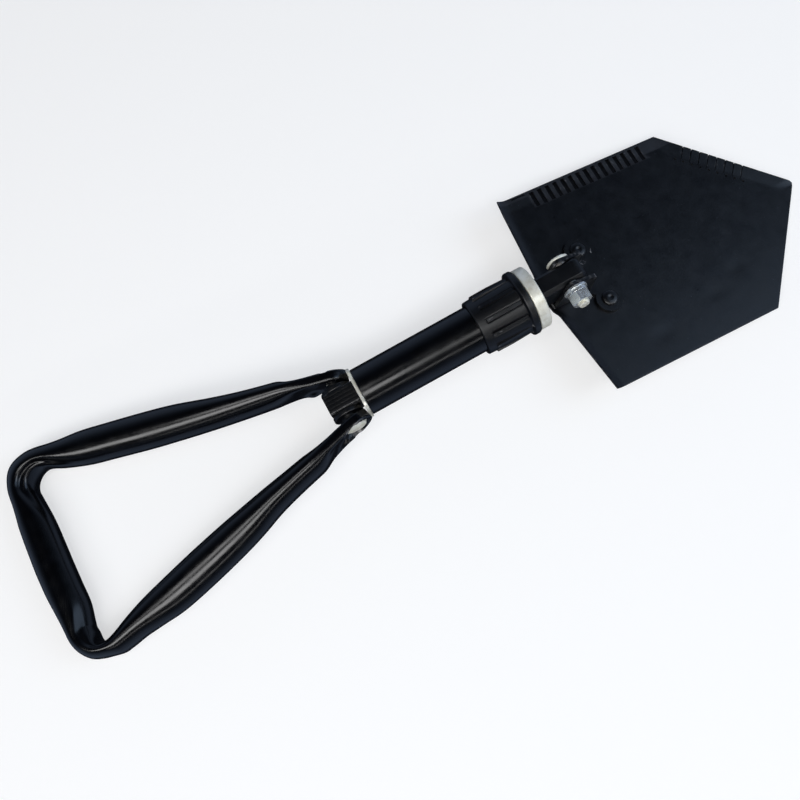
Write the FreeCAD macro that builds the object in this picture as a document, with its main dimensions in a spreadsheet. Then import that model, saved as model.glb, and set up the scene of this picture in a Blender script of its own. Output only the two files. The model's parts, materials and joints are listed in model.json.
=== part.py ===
import FreeCAD, Part
import os

import Sketcher
from FreeCAD import Placement, Rotation, Vector

# A folding camp shovel in three sections: a pentagonal blade on a bolted hinge, a tubular shaft
# with a screw collar that locks the blade, and a triangular tube handle on a riveted hinge.
#
# Every piece is drawn in one of two frames.
#   Tool frame:  X runs along the shaft towards the blade, Y across, Z up out of the work face.
#                The shaft's axis is y = z = 0.
#   Blade frame: X runs along the blade from its back corners, Y across, Z out of its front face,
#                which is z = 0.
# The whole tool then stands as it lies on the ground, on its grip and on the tip of the blade.

DIMENSIONS = [
    # alias, value in mm or degrees, meaning
    ("tube_radius", 16.0, "outside of the shaft tube"),
    ("tube_wall", 1.6, "shaft tube wall"),
    ("tube_front", 256.0, "front end of the shaft tube"),
    ("plate_rear", 141.6, "rear face of the neck plate"),
    ("plate_thick", 2.2, "neck plate thickness"),
    ("plate_half_width", 15.0, "neck plate, half its width"),
    ("plate_half_height", 14.0, "neck plate, half its height"),
    ("plug_length", 24.0, "how far each plug reaches into the tube"),
    ("block_rear", 120.3, "rear end of the neck block"),
    ("block_half_width", 7.0, "neck block, half its width"),
    ("block_low", -8.5, "underside of the neck block"),
    ("block_high", 10.5, "top of the neck block"),
    ("neck_pivot", 130.0, "axis of the handle hinge along the shaft"),
    ("rivet_radius", 4.0, "shank of the handle rivet"),
    ("rivet_head_radius", 7.8, "head of the handle rivet"),
    ("rivet_head_rise", 2.6, "height of a handle rivet's head"),
    ("rivet_seat", 16.4, "where the rivet washers sit in the ears"),
    ("rivet_washer_thick", 1.0, "rivet washer thickness"),
    ("rivet_washer_radius", 8.5, "rivet washer outside"),
    ("bush_flange_radius", 10.2, "spacer disc of the neck bush"),
    ("bush_flange_thick", 3.4, "thickness of that disc"),
    ("bush_radius", 5.5, "barrel of the neck bush"),
    ("bush_reach", 11.9, "outer end of the neck bush"),
    ("grip_back", -80.1, "centre line of the grip"),
    ("grip_half", 69.9, "where grip and leg centre lines meet"),
    ("leg_slant", 13.8, "angle of a leg to the shaft"),
    ("leg_radius", 12.7, "outside of the handle tube"),
    ("leg_wall", 1.5, "handle tube wall"),
    ("bend_radius", 18.0, "centre line radius of the grip corners"),
    ("crush_start", 50.0, "where a leg begins to flatten, from the rivet"),
    ("ear_start", 14.0, "where a leg is fully flattened, from the rivet"),
    ("ear_radius", 11.0, "rounded end of an ear, about the rivet"),
    ("ear_inside", 13.4, "inner face of an ear at the rivet"),
    ("ear_thick", 7.2, "thickness of an ear over its rims"),
    ("ear_web", 3.5, "thickness of an ear between its rims"),
    ("trough_half", 7.5, "half the width of the trough in an ear"),
    ("ear_spare", 8.0, "how far cuts run on past the end of an ear"),
    ("swing_gap", 0.4, "clearance of the ears as they swing past the shaft's end"),
    ("head_flange", 2.5, "flange of the shaft head on the tube's end"),
    ("tongue_half_width", 7.4, "tongue, half its width"),
    ("tongue_low", -10.0, "underside of the tongue"),
    ("tongue_high", 11.0, "top of the tongue"),
    ("tongue_front", 305.5, "front end of the tongue"),
    ("tongue_end_low", 7.0, "slope under the tongue's front end"),
    ("tongue_end_high", 5.0, "slope over the tongue's front end"),
    ("hinge_along", 294.3, "axis of the blade hinge along the shaft"),
    ("hinge_high", 4.5, "axis of the blade hinge above the shaft's axis"),
    ("head_pin_radius", 2.5, "pin through tube and shaft head"),
    ("head_pin_along", 249.0, "place of that pin along the shaft"),
    ("head_pin_sunk", 1.0, "how deep the ends of that pin are sunk"),
    ("thread_rear", 242.0, "rear end of the threaded sleeve"),
    ("thread_radius", 16.9, "outside of the thread"),
    ("thread_gap", 0.15, "clearance in the collar's thread"),
    ("collar_rear", 227.5, "rear end of the lock collar"),
    ("collar_front", 263.7, "front end of the lock collar"),
    ("collar_gap", 0.3, "clearance of the collar on the tube"),
    ("collar_bearing", 9.0, "length of the collar's close bore at its rear end"),
    ("collar_rear_radius", 18.5, "collar outside at its rear end"),
    ("collar_land", 5.5, "plain length behind the ribs"),
    ("collar_mid_radius", 18.8, "collar outside where the ribs begin"),
    ("collar_fore_radius", 19.5, "collar outside where the ribs end"),
    ("collar_flange_rear", 258.2, "rear edge of the collar's flange"),
    ("collar_flange_radius", 22.2, "collar's flange"),
    ("collar_flange_slope", 1.5, "length of the slope up to the flange"),
    ("rib_radius", 20.2, "tops of the collar's ribs"),
    ("rib_root", 0.4, "how far ribs start outside the collar's mouth"),
    ("rib_count", 12, "ribs round the collar"),
    ("rib_first", 15.5, "place of the first rib, from the top towards -Y"),
    ("rib_half_angle", 4.2, "half the angle that a rib takes up"),
    ("nut_rear", 246.0, "rear end of the collar's threaded insert"),
    ("mouth_rear", 258.8, "where the collar's mouth begins"),
    ("mouth_radius", 18.0, "collar's mouth, which is also its insert's seat"),
    ("clip_rear", 260.4, "rear face of the ring clip"),
    ("clip_thick", 1.2, "ring clip thickness"),
    ("clip_inner", 17.0, "ring clip inside"),
    ("clip_outer", 18.6, "ring clip outside"),
    ("clip_gap", 0.2, "clearance round the clip and behind the ring's spigot"),
    ("ring_rear", 264.0, "rear face of the thrust ring"),
    ("ring_front", 271.8, "front face of the thrust ring"),
    ("ring_radius", 21.2, "outside of the thrust ring"),
    ("ring_bore", 14.5, "bore of the thrust ring"),
    ("ring_chamfer", 1.0, "chamfers on the thrust ring's front edges"),
    ("ring_rear_chamfer", 0.6, "chamfer on its rear edge"),
    ("spigot_radius", 17.8, "thrust ring's spigot inside the collar"),
    ("blade_pitch", 12.3, "dip of the open blade below the shaft"),
    ("blade_half_width", 76.2, "blade, half its width"),
    ("blade_shoulder", 133.0, "length of the blade's parallel sides"),
    ("blade_length", 204.6, "from the back corners to the tip"),
    ("blade_peak", 8.0, "how far the back edge stands out at its middle"),
    ("blade_thick", 2.0, "blade sheet"),
    ("lip_high", 3.5, "step lip above the blade's front face"),
    ("lip_gap", 13.0, "half the plain stretch between the two lips"),
    ("serration_first", 27.0, "first serration from the back corner"),
    ("serration_last", 116.2, "last serration from the back corner"),
    ("serration_count", 15, "serrations along one side"),
    ("serration_half_width", 1.4, "serration, half its width"),
    ("serration_rim", 1.8, "rim left between serrations and edge"),
    ("serration_reach", 13.8, "inner ends of the serrations, from the edge"),
    ("serration_depth", 0.8, "serration depth"),
    ("score_count", 8, "scored lines along one tip edge"),
    ("score_first", 22.3, "first scored line from the side corner"),
    ("score_pitch", 6.33, "from one scored line to the next"),
    ("score_half_width", 0.3, "scored line, half its width"),
    ("score_length", 11.8, "scored line, across the edge"),
    ("score_depth", 0.5, "scored line depth"),
    ("dot_radius", 0.9, "punched dots between the scored lines"),
    ("dot_inward", 12.6, "punched dots from the edge"),
    ("tip_slope", 46.78, "angle of a tip edge to the blade's axis"),
    ("pivot_reach", 3.35, "blade hinge axis ahead of the back corners"),
    ("pivot_rise", 21.7, "blade hinge axis above the blade's face"),
    ("bracket_thick", 2.5, "hinge bracket sheet"),
    ("bracket_front", 37.0, "front edge of the hinge bracket"),
    ("cheek_inside", 7.8, "inner face of a bracket cheek"),
    ("cheek_foot_rear", -5.6, "rear foot of a cheek"),
    ("cheek_waist", -3.4, "rear edge of a cheek beside the pivot"),
    ("cheek_top_rear", -2.6, "rear top corner of a cheek"),
    ("cheek_top_front", 19.0, "front top corner of a cheek"),
    ("cheek_foot_front", 21.2, "front foot of a cheek"),
    ("cheek_rise_rear", 29.6, "height of a cheek at its rear"),
    ("cheek_rise_front", 26.1, "height of a cheek at its front"),
    ("cheek_corner", 4.0, "bevel on the rear top corner of a cheek"),
    ("cheek_nose", 2.0, "bevel on its front top corner"),
    ("cheek_nose_rise", 0.6, "how much the top edge climbs behind that bevel"),
    ("cheek_root", 0.5, "how far a cheek is sunk into the base"),
    ("lobe_radius", 9.3, "rounded lobes of the bracket"),
    ("lobe_along", 31.0, "bracket rivets ahead of the back corners"),
    ("lobe_across", 20.0, "bracket rivets from the blade's axis"),
    ("stud_radius", 3.0, "shank of a bracket rivet"),
    ("stud_head_radius", 5.3, "head of a bracket rivet"),
    ("stud_head_rise", 3.0, "height of a bracket rivet's head"),
    ("stud_tail_radius", 4.6, "its tail, which is set flush into the blade's back"),
    ("stud_tail_thick", 0.8, "thickness of that tail"),
    ("bolt_radius", 4.0, "shank of the pivot bolt"),
    ("bolt_head_radius", 7.8, "head of the pivot bolt"),
    ("bolt_head_thick", 3.3, "head thickness of the pivot bolt"),
    ("bolt_chamfer", 0.8, "chamfer on the bolt's threaded end"),
    ("sleeve_radius", 5.0, "pivot sleeve outside"),
    ("running_gap", 0.05, "radial clearance of both hinges"),
    ("flat_washer_radius", 8.0, "flat washer outside"),
    ("flat_washer_thick", 1.6, "flat washer thickness"),
    ("spring_washer_radius", 7.0, "spring washer outside"),
    ("spring_washer_thick", 2.1, "spring washer thickness"),
    ("spring_washer_split", 0.6, "half the width of the spring washer's split"),
    ("nut_half_flats", 6.5, "nut, half the distance across its flats"),
    ("nut_thick", 6.5, "nut thickness"),
    ("bolt_tail", 2.4, "bolt thread that shows past the nut"),
]

doc = FreeCAD.newDocument("camp_shovel")
sheet = doc.addObject("Spreadsheet::Sheet", "Dims")
for row, (alias, value, meaning) in enumerate(DIMENSIONS, start=1):
    sheet.set(f"A{row}", meaning)
    sheet.set(f"B{row}", str(value))
    sheet.setAlias(f"B{row}", alias)
doc.recompute()

ALIASES = {alias for alias, _, _ in DIMENSIONS}


def bound(expression):
    """The expression with each alias written as a reference to the sheet."""
    words = str(expression).split(" ")
    return " ".join(f"Dims.{word}" if word in ALIASES else word for word in words)


def number(expression):
    """What an expression over the sheet comes to, as a plain number."""
    return float(sheet.evalExpression(bound(expression)))


# ---------------------------------------------------------------- sketches and features

def new_body(label):
    body = doc.addObject("PartDesign::Body", label)
    body.Label = label
    return body


def sketch_at(body, role, level):
    """A sketch parallel to one of the body's origin planes, at a level along that plane's axis."""
    sketch = body.newObject("Sketcher::SketchObject", "Sketch")
    plane = next(item for item in body.Origin.OriginFeatures if item.Role == role)
    sketch.AttachmentSupport = [(plane, "")]
    sketch.MapMode = "FlatFace"
    # The normal of the XZ plane points along -Y.
    sign = "-1 * " if role == "XZ_Plane" else ""
    sketch.setExpression("AttachmentOffset.Base.z", bound(f"{sign}( {level} )"))
    return sketch


def pin_point(sketch, geometry, point, across, up):
    """Bind a point of the sketch to two expressions, measured from the sketch's origin."""
    for kind, expression in (("DistanceX", across), ("DistanceY", up)):
        constraint = Sketcher.Constraint(kind, -1, 1, geometry, point, number(expression))
        index = sketch.addConstraint(constraint)
        sketch.setExpression(f"Constraints[{index}]", bound(expression))


def polygon(sketch, corners):
    """A closed outline through corners, each a pair of expressions."""
    places = [Vector(number(across), number(up), 0) for across, up in corners]
    first = sketch.GeometryCount
    count = len(corners)
    for i in range(count):
        sketch.addGeometry(Part.LineSegment(places[i], places[(i + 1) % count]), False)
    for i in range(count):
        following = first + (i + 1) % count
        sketch.addConstraint(Sketcher.Constraint("Coincident", first + i, 2, following, 1))
    for i, (across, up) in enumerate(corners):
        pin_point(sketch, first + i, 1, across, up)


def circle(sketch, across, up, radius):
    centre = Vector(number(across), number(up), 0)
    index = sketch.addGeometry(Part.Circle(centre, Vector(0, 0, 1), number(radius)), False)
    pin_point(sketch, index, 3, across, up)
    size = sketch.addConstraint(Sketcher.Constraint("Radius", index, number(radius)))
    sketch.setExpression(f"Constraints[{size}]", bound(radius))


def rectangle(sketch, left, low, right, high):
    polygon(sketch, [(left, low), (right, low), (right, high), (left, high)])


def slab(body, role, low, high, draw):
    """Material between two levels; draw(sketch) draws its outline."""
    start = high if role == "XZ_Plane" else low
    sketch = sketch_at(body, role, start)
    draw(sketch)
    pad = body.newObject("PartDesign::Pad", "Pad")
    pad.Profile = sketch
    pad.setExpression("Length", bound(f"( {high} ) - ( {low} )"))
    doc.recompute()
    return pad


def cut(body, role, low, high, draw):
    """Material taken away between two levels; the volume has to fall."""
    before = body.Shape.Volume
    start = low if role == "XZ_Plane" else high
    sketch = sketch_at(body, role, start)
    draw(sketch)
    pocket = body.newObject("PartDesign::Pocket", "Pocket")
    pocket.Profile = sketch
    pocket.setExpression("Length", bound(f"( {high} ) - ( {low} )"))
    doc.recompute()
    if body.Shape.Volume >= before:
        raise RuntimeError(f"{body.Label}: a pocket cuts nothing")
    return pocket


def turned(label, outline):
    """A body turned about X from an outline of (along, radius) pairs."""
    body = new_body(label)
    sketch = sketch_at(body, "XY_Plane", "0")
    polygon(sketch, outline)
    turning = body.newObject("PartDesign::Revolution", "Turning")
    turning.Profile = sketch
    turning.ReferenceAxis = (sketch, ["H_Axis"])
    turning.Angle = 360
    doc.recompute()
    return body


def ring(label, rear, front, inner, outer):
    return turned(label, [(rear, inner), (front, inner), (front, outer), (rear, outer)])


def domed(rear, rise, radius):
    """Outline of a low domed head, from its rim's foot round to its centre, towards +X."""
    steps = [(0.0, 1.0), (0.35, 0.98), (0.7, 0.82), (0.92, 0.5), (1.0, 0.0)]
    return [(f"{rear} + {high} * {rise}", f"{wide} * {radius}") for high, wide in steps]


def mirrored_pair(label, half):
    """Two separate solids, one each side of the tool, under one label."""
    mirror = doc.addObject("Part::Mirroring", label + "_mirror")
    mirror.Source = half
    mirror.Normal = (0, 1, 0)
    pair = doc.addObject("Part::Compound", label)
    pair.Links = [half, mirror]
    pair.Label = label
    doc.recompute()
    return pair


# ---------------------------------------------------------------- the shaft and its neck

def make_shaft_tube():
    body = ring("shaft_tube", "plate_rear + plate_thick", "tube_front",
                "tube_radius - tube_wall", "tube_radius")
    cut(body, "XZ_Plane", "-1 * tube_radius", "tube_radius",
        lambda sketch: circle(sketch, "head_pin_along", "0", "head_pin_radius"))
    return body


def make_neck_plate():
    body = new_body("neck_plate")

    def outline(sketch):
        rectangle(sketch, "-1 * plate_half_width", "-1 * plate_half_height",
                  "plate_half_width", "plate_half_height")
        rectangle(sketch, "-1 * block_half_width", "block_low", "block_half_width", "block_high")

    slab(body, "YZ_Plane", "plate_rear", "plate_rear + plate_thick", outline)
    return body


def make_neck_block():
    """The square block that carries the handle, with the round plug that holds it in the tube."""
    body = new_body("neck_block")
    tube_rear = "plate_rear + plate_thick"
    slab(body, "YZ_Plane", "block_rear", tube_rear,
         lambda sketch: rectangle(sketch, "-1 * block_half_width", "block_low",
                                  "block_half_width", "block_high"))
    slab(body, "YZ_Plane", tube_rear, f"{tube_rear} + plug_length",
         lambda sketch: circle(sketch, "0", "0", "tube_radius - tube_wall"))
    cut(body, "XZ_Plane", "-1 * block_half_width - 1", "block_half_width + 1",
        lambda sketch: circle(sketch, "neck_pivot", "0", "rivet_radius + running_gap"))
    return body


def make_shaft_head():
    """Plug, flange and the tongue that the blade swings on."""
    body = new_body("shaft_head")
    slab(body, "YZ_Plane", "tube_front - plug_length", "tube_front",
         lambda sketch: circle(sketch, "0", "0", "tube_radius - tube_wall"))
    slab(body, "YZ_Plane", "tube_front", "tube_front + head_flange",
         lambda sketch: circle(sketch, "0", "0", "tube_radius"))

    def side(sketch):
        polygon(sketch, [
            ("tube_front + head_flange", "tongue_low"),
            ("tongue_front - tongue_end_low", "tongue_low"),
            ("tongue_front", "tongue_low + tongue_end_low"),
            ("tongue_front", "tongue_high - tongue_end_high"),
            ("tongue_front - tongue_end_high", "tongue_high"),
            ("tube_front + head_flange", "tongue_high"),
        ])

    slab(body, "XZ_Plane", "-1 * tongue_half_width", "tongue_half_width", side)
    cut(body, "XZ_Plane", "-1 * tongue_half_width", "tongue_half_width",
        lambda sketch: circle(sketch, "hinge_along", "hinge_high", "sleeve_radius + running_gap"))
    cut(body, "XZ_Plane", "-1 * tube_radius", "tube_radius",
        lambda sketch: circle(sketch, "head_pin_along", "0", "head_pin_radius"))
    return body


def make_head_pin():
    body = new_body("head_pin")
    slab(body, "XZ_Plane", "head_pin_sunk - tube_radius", "tube_radius - head_pin_sunk",
         lambda sketch: circle(sketch, "head_pin_along", "0", "head_pin_radius"))
    return body


def make_thread_sleeve():
    return ring("thread_sleeve", "thread_rear", "tube_front", "tube_radius", "thread_radius")


# ---------------------------------------------------------------- the lock collar

def make_lock_collar():
    clip_front = "clip_rear + clip_thick"
    body = turned("lock_collar", [
        ("collar_rear", "tube_radius + collar_gap"),
        ("collar_rear + collar_bearing", "tube_radius + collar_gap"),
        ("collar_rear + collar_bearing", "thread_radius + collar_gap"),
        ("nut_rear", "thread_radius + collar_gap"),
        ("nut_rear", "mouth_radius"),
        ("clip_rear - clip_gap", "mouth_radius"),
        ("clip_rear - clip_gap", "clip_outer + clip_gap"),
        (f"{clip_front} + clip_gap", "clip_outer + clip_gap"),
        (f"{clip_front} + clip_gap", "mouth_radius"),
        ("collar_front", "mouth_radius"),
        ("collar_front", "collar_flange_radius"),
        ("collar_flange_rear + collar_flange_slope", "collar_flange_radius"),
        ("collar_flange_rear", "collar_fore_radius"),
        ("collar_rear + collar_land", "collar_mid_radius"),
        ("collar_rear", "collar_rear_radius"),
    ])

    def rib_end(sketch):
        inner, outer = "( mouth_radius + rib_root )", "rib_radius"
        left, right = "( rib_first - rib_half_angle )", "( rib_first + rib_half_angle )"
        corners = ((inner, left), (outer, left), (outer, right), (inner, right))
        polygon(sketch, [(f"-1 * {radius} * sin{angle}", f"{radius} * cos{angle}")
                         for radius, angle in corners])

    rib = slab(body, "YZ_Plane", "collar_rear + collar_land", "collar_flange_rear + 1", rib_end)
    pattern = body.newObject("PartDesign::PolarPattern", "Ribs")
    pattern.Originals = [rib]
    axis = next(item for item in body.Origin.OriginFeatures if item.Role == "X_Axis")
    pattern.Axis = (axis, [""])
    pattern.Angle = 360
    pattern.Occurrences = int(number("rib_count"))
    body.Tip = pattern
    doc.recompute()
    return body


def make_collar_nut():
    return ring("collar_nut", "nut_rear", "mouth_rear", "thread_radius + thread_gap", "mouth_radius")


def make_ring_clip():
    return ring("ring_clip", "clip_rear", "clip_rear + clip_thick", "clip_inner", "clip_outer")


def make_collar_ring():
    clip_front = "clip_rear + clip_thick"
    return turned("collar_ring", [
        ("mouth_rear + clip_gap", "ring_bore"),
        ("ring_front - ring_chamfer", "ring_bore"),
        ("ring_front", "ring_bore + ring_chamfer"),
        ("ring_front", "ring_radius - ring_chamfer"),
        ("ring_front - ring_chamfer", "ring_radius"),
        ("ring_rear + ring_rear_chamfer", "ring_radius"),
        ("ring_rear", "ring_radius - ring_rear_chamfer"),
        ("ring_rear", "spigot_radius"),
        (clip_front, "spigot_radius"),
        (clip_front, "clip_inner"),
        ("clip_rear", "clip_inner"),
        ("clip_rear", "spigot_radius"),
        ("mouth_rear + clip_gap", "spigot_radius"),
    ])


# ---------------------------------------------------------------- the handle

def leg_point(along, out):
    """Tool-frame expressions of a point beside the +Y leg: along it from the rivet towards the
    grip, and out from the plane of the ear's inner face."""
    return (f"neck_pivot - ( {along} ) * cos( leg_slant ) + ( {out} ) * sin( leg_slant )",
            f"ear_inside + ( {along} ) * sin( leg_slant ) + ( {out} ) * cos( leg_slant )")


def make_handle_frame():
    """One bent tube: the grip, two legs, and an ear pressed flat at the end of each leg. One half
    is built and mirrored."""
    body = new_body("handle_frame")
    # The tube's centre line lies this far out from the plane of the ear's inner face.
    tube_out = ("( grip_half - ear_inside ) * cos( leg_slant )"
                " - ( neck_pivot - grip_back ) * sin( leg_slant )")

    # Round tube along half the grip, round the corner and up the leg.
    tangent = "bend_radius * tan( ( 90 + leg_slant ) / 2 )"
    corner = [("grip_back", f"grip_half - {tangent}"),
              (f"grip_back + {tangent} * cos( leg_slant )", f"grip_half - {tangent} * sin( leg_slant )")]
    leg_end = leg_point("crush_start", tube_out)
    spine = sketch_at(body, "XY_Plane", "0")
    route = [("grip_back", "0"), corner[0], corner[1], leg_end]
    places = [Vector(number(across), number(up), 0) for across, up in route]
    centre = Vector(places[1].x + number("bend_radius"), places[1].y, 0)
    middle = centre + (places[1] - centre + places[2] - centre).normalize() * number("bend_radius")
    spine.addGeometry(Part.LineSegment(places[0], places[1]), False)
    spine.addGeometry(Part.Arc(places[1], middle, places[2]), False)
    spine.addGeometry(Part.LineSegment(places[2], places[3]), False)
    # An arc runs anticlockwise, so this one starts at the leg and ends at the grip.
    spine.addConstraint(Sketcher.Constraint("Coincident", 0, 2, 1, 2))
    spine.addConstraint(Sketcher.Constraint("Coincident", 1, 1, 2, 1))
    for place, (across, up) in enumerate(route):
        geometry, point = ((0, 1), (0, 2), (2, 1), (2, 2))[place]
        pin_point(spine, geometry, point, across, up)
    size = spine.addConstraint(Sketcher.Constraint("Radius", 1, number("bend_radius")))
    spine.setExpression(f"Constraints[{size}]", bound("bend_radius"))
    section = sketch_at(body, "XZ_Plane", "0")
    circle(section, "grip_back", "0", "leg_radius")
    circle(section, "grip_back", "0", "leg_radius - leg_wall")
    pipe = body.newObject("PartDesign::AdditivePipe", "Tube")
    pipe.Profile = section
    pipe.Spine = spine
    doc.recompute()

    # The pressed end: two tube walls together, so it is solid, cut to the pressed outline.
    end = sketch_at(body, "YZ_Plane", "0")
    start_across, start_up = leg_end
    end.setExpression("AttachmentOffset.Base.x", bound(start_up))
    end.setExpression("AttachmentOffset.Base.z", bound(start_across))
    end.setExpression("AttachmentOffset.Rotation.Axis.x", "0")
    end.setExpression("AttachmentOffset.Rotation.Axis.y", "-1")
    end.setExpression("AttachmentOffset.Rotation.Axis.z", "0")
    end.setExpression("AttachmentOffset.Rotation.Angle", bound("leg_slant"))
    circle(end, "0", "0", "leg_radius")
    pressed = body.newObject("PartDesign::Pad", "PressedEnd")
    pressed.Profile = end
    pressed.setExpression("Length", bound("crush_start + ear_radius + 2"))
    doc.recompute()

    reach = "leg_radius + 1"

    def inner_side(sketch):
        polygon(sketch, [
            leg_point("-1 * ear_radius - ear_spare", "0"),
            leg_point("ear_start", "0"),
            leg_point("crush_start", f"{tube_out} - leg_radius - 0.01"),
            leg_point("crush_start", "-30"),
            leg_point("-1 * ear_radius - ear_spare", "-30"),
        ])

    def outer_side(sketch):
        polygon(sketch, [
            leg_point("-1 * ear_radius - ear_spare", "ear_thick"),
            leg_point("ear_start", "ear_thick"),
            leg_point("crush_start", f"{tube_out} + leg_radius + 0.01"),
            leg_point("crush_start", "40"),
            leg_point("-1 * ear_radius - ear_spare", "40"),
        ])

    cut(body, "XY_Plane", f"-1 * ( {reach} )", reach, inner_side)
    cut(body, "XY_Plane", f"-1 * ( {reach} )", reach, outer_side)

    def beyond_ear(sketch):
        """All that lies outside the ear seen from the side; its end is round about the rivet."""
        far = "neck_pivot + 40"
        taper = "neck_pivot - crush_start"
        end_arc = [(f"neck_pivot + ear_radius * cos( {angle} )", f"ear_radius * sin( {angle} )")
                   for angle in range(-90, 91, 10)]
        polygon(sketch, [
            (taper, f"-1 * ( {reach} )"), ("neck_pivot - ear_start", "-1 * ear_radius"), *end_arc,
            ("neck_pivot - ear_start", "ear_radius"), (taper, reach),
            (taper, "30"), (far, "30"), (far, "-30"), (taper, "-30"),
        ])

    cut(body, "XZ_Plane", "0", "40", beyond_ear)

    def trough(sketch):
        polygon(sketch, [
            leg_point("-1 * ear_radius - ear_spare", "ear_web"),
            leg_point("ear_start", "ear_web"),
            leg_point("crush_start - 4", f"{tube_out} + leg_radius + 0.01"),
            leg_point("crush_start - 4", "40"),
            leg_point("-1 * ear_radius - ear_spare", "40"),
        ])

    cut(body, "XY_Plane", "-1 * trough_half", "trough_half", trough)
    # Room for the neck plate and for the tube's end as the handle swings past them.
    for rim, level in (("plate_rear - neck_pivot", "plate_half_width"),
                       ("plate_rear + plate_thick - neck_pivot", "tube_radius")):
        def passing(sketch, rim=rim):
            circle(sketch, "neck_pivot", "0", f"{rim} - swing_gap")
            circle(sketch, "neck_pivot", "0", "crush_start")

        cut(body, "XZ_Plane", "0", f"{level} + swing_gap", passing)

    cut(body, "XZ_Plane", "rivet_seat", "40",
        lambda sketch: circle(sketch, "neck_pivot", "0", "rivet_washer_radius + 0.3"))
    cut(body, "XZ_Plane", "2", "40",
        lambda sketch: circle(sketch, "neck_pivot", "0", "rivet_radius"))

    mirror = body.newObject("PartDesign::Mirrored", "OtherHalf")
    plane = next(item for item in body.Origin.OriginFeatures if item.Role == "XZ_Plane")
    mirror.MirrorPlane = (plane, [""])
    mirror.TransformMode = "Whole shape"
    body.Tip = mirror
    doc.recompute()
    return body


# Pieces turned about a hinge pin are drawn along X and laid across the tool, towards +Y.
CROSSWISE = Rotation(Vector(0, 0, 1), 90)


def across_at(along, high):
    return Placement(Vector(number(along), 0, number(high)), CROSSWISE)


def make_handle_rivet():
    reach = "rivet_seat + rivet_washer_thick"
    right = domed(reach, "rivet_head_rise", "rivet_head_radius")
    left = [(f"-1 * ( {along} )", radius) for along, radius in reversed(right)]
    shank = [(reach, "rivet_radius"), *right]
    body = turned("handle_rivet", [*left, (f"-1 * ( {reach} )", "rivet_radius"), *shank])
    body.Placement = across_at("neck_pivot", "0")
    return body


def make_neck_bushes():
    """A bush with a spacer disc each side of the neck block, on which the ears turn."""
    flange = "block_half_width + running_gap"
    half = turned("neck_bush", [
        (flange, "rivet_radius"),
        ("bush_reach", "rivet_radius"),
        ("bush_reach", "bush_radius"),
        (f"{flange} + bush_flange_thick", "bush_radius"),
        (f"{flange} + bush_flange_thick", "bush_flange_radius"),
        (flange, "bush_flange_radius"),
    ])
    half.Placement = across_at("neck_pivot", "0")
    return mirrored_pair("neck_bushes", half)


def make_rivet_washers():
    half = ring("rivet_washer", "rivet_seat", "rivet_seat + rivet_washer_thick",
                "rivet_radius", "rivet_washer_radius")
    half.Placement = across_at("neck_pivot", "0")
    return mirrored_pair("rivet_washers", half)


# ---------------------------------------------------------------- the blade, in its own frame

def rivet_holes(sketch, radius):
    circle(sketch, "lobe_along", "lobe_across", radius)
    circle(sketch, "lobe_along", "-1 * lobe_across", radius)


def make_blade():
    body = new_body("blade")

    def outline(sketch):
        polygon(sketch, [
            ("0", "blade_half_width"),
            ("-1 * blade_peak", "0"),
            ("0", "-1 * blade_half_width"),
            ("blade_shoulder", "-1 * blade_half_width"),
            ("blade_length", "0"),
            ("blade_shoulder", "blade_half_width"),
        ])

    slab(body, "XY_Plane", "-1 * blade_thick", "0", outline)

    # The back edge is turned up into a step on each side of the hinge.
    at_gap = "-1 * blade_peak * ( 1 - lip_gap / blade_half_width )"
    for side in ("", "-1 * "):
        def lip(sketch, side=side):
            polygon(sketch, [
                ("0", f"{side}blade_half_width"),
                (at_gap, f"{side}lip_gap"),
                (f"{at_gap} + blade_thick", f"{side}lip_gap"),
                ("blade_thick", f"{side}blade_half_width"),
            ])

        slab(body, "XY_Plane", "-1 * blade_thick / 2", "lip_high", lip)

    cut(body, "XY_Plane", "-1 * blade_thick - 1", "1",
        lambda sketch: rivet_holes(sketch, "stud_radius"))
    cut(body, "XY_Plane", "-1 * blade_thick - 1", "stud_tail_thick - blade_thick",
        lambda sketch: rivet_holes(sketch, "stud_tail_radius"))

    def serrations(sketch):
        count = int(number("serration_count"))
        step = f"( serration_last - serration_first ) / {count - 1}"
        for i in range(count):
            middle = f"serration_first + {i} * {step}"
            rectangle(sketch, f"{middle} - serration_half_width", "blade_half_width - serration_reach",
                      f"{middle} + serration_half_width", "blade_half_width - serration_rim")

    cut(body, "XY_Plane", "-1 * serration_depth", "1", serrations)

    def on_tip(along, inward):
        """A point beside the +Y tip edge: along it from the side corner, and in from it."""
        return (f"blade_shoulder + ( {along} ) * cos( tip_slope ) - ( {inward} ) * sin( tip_slope )",
                f"blade_half_width - ( {along} ) * sin( tip_slope ) - ( {inward} ) * cos( tip_slope )")

    def scores(sketch):
        count = int(number("score_count"))
        for i in range(count):
            middle = f"score_first + {i} * score_pitch"
            polygon(sketch, [
                on_tip(f"{middle} - score_half_width", "-1"),
                on_tip(f"{middle} + score_half_width", "-1"),
                on_tip(f"{middle} + score_half_width", "score_length"),
                on_tip(f"{middle} - score_half_width", "score_length"),
            ])
        for i in range(count + 1):
            dot = on_tip(f"score_first + ( {i} - 0.5 ) * score_pitch", "dot_inward")
            circle(sketch, *dot, "dot_radius")

    cut(body, "XY_Plane", "-1 * score_depth", "1", scores)
    return body


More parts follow.
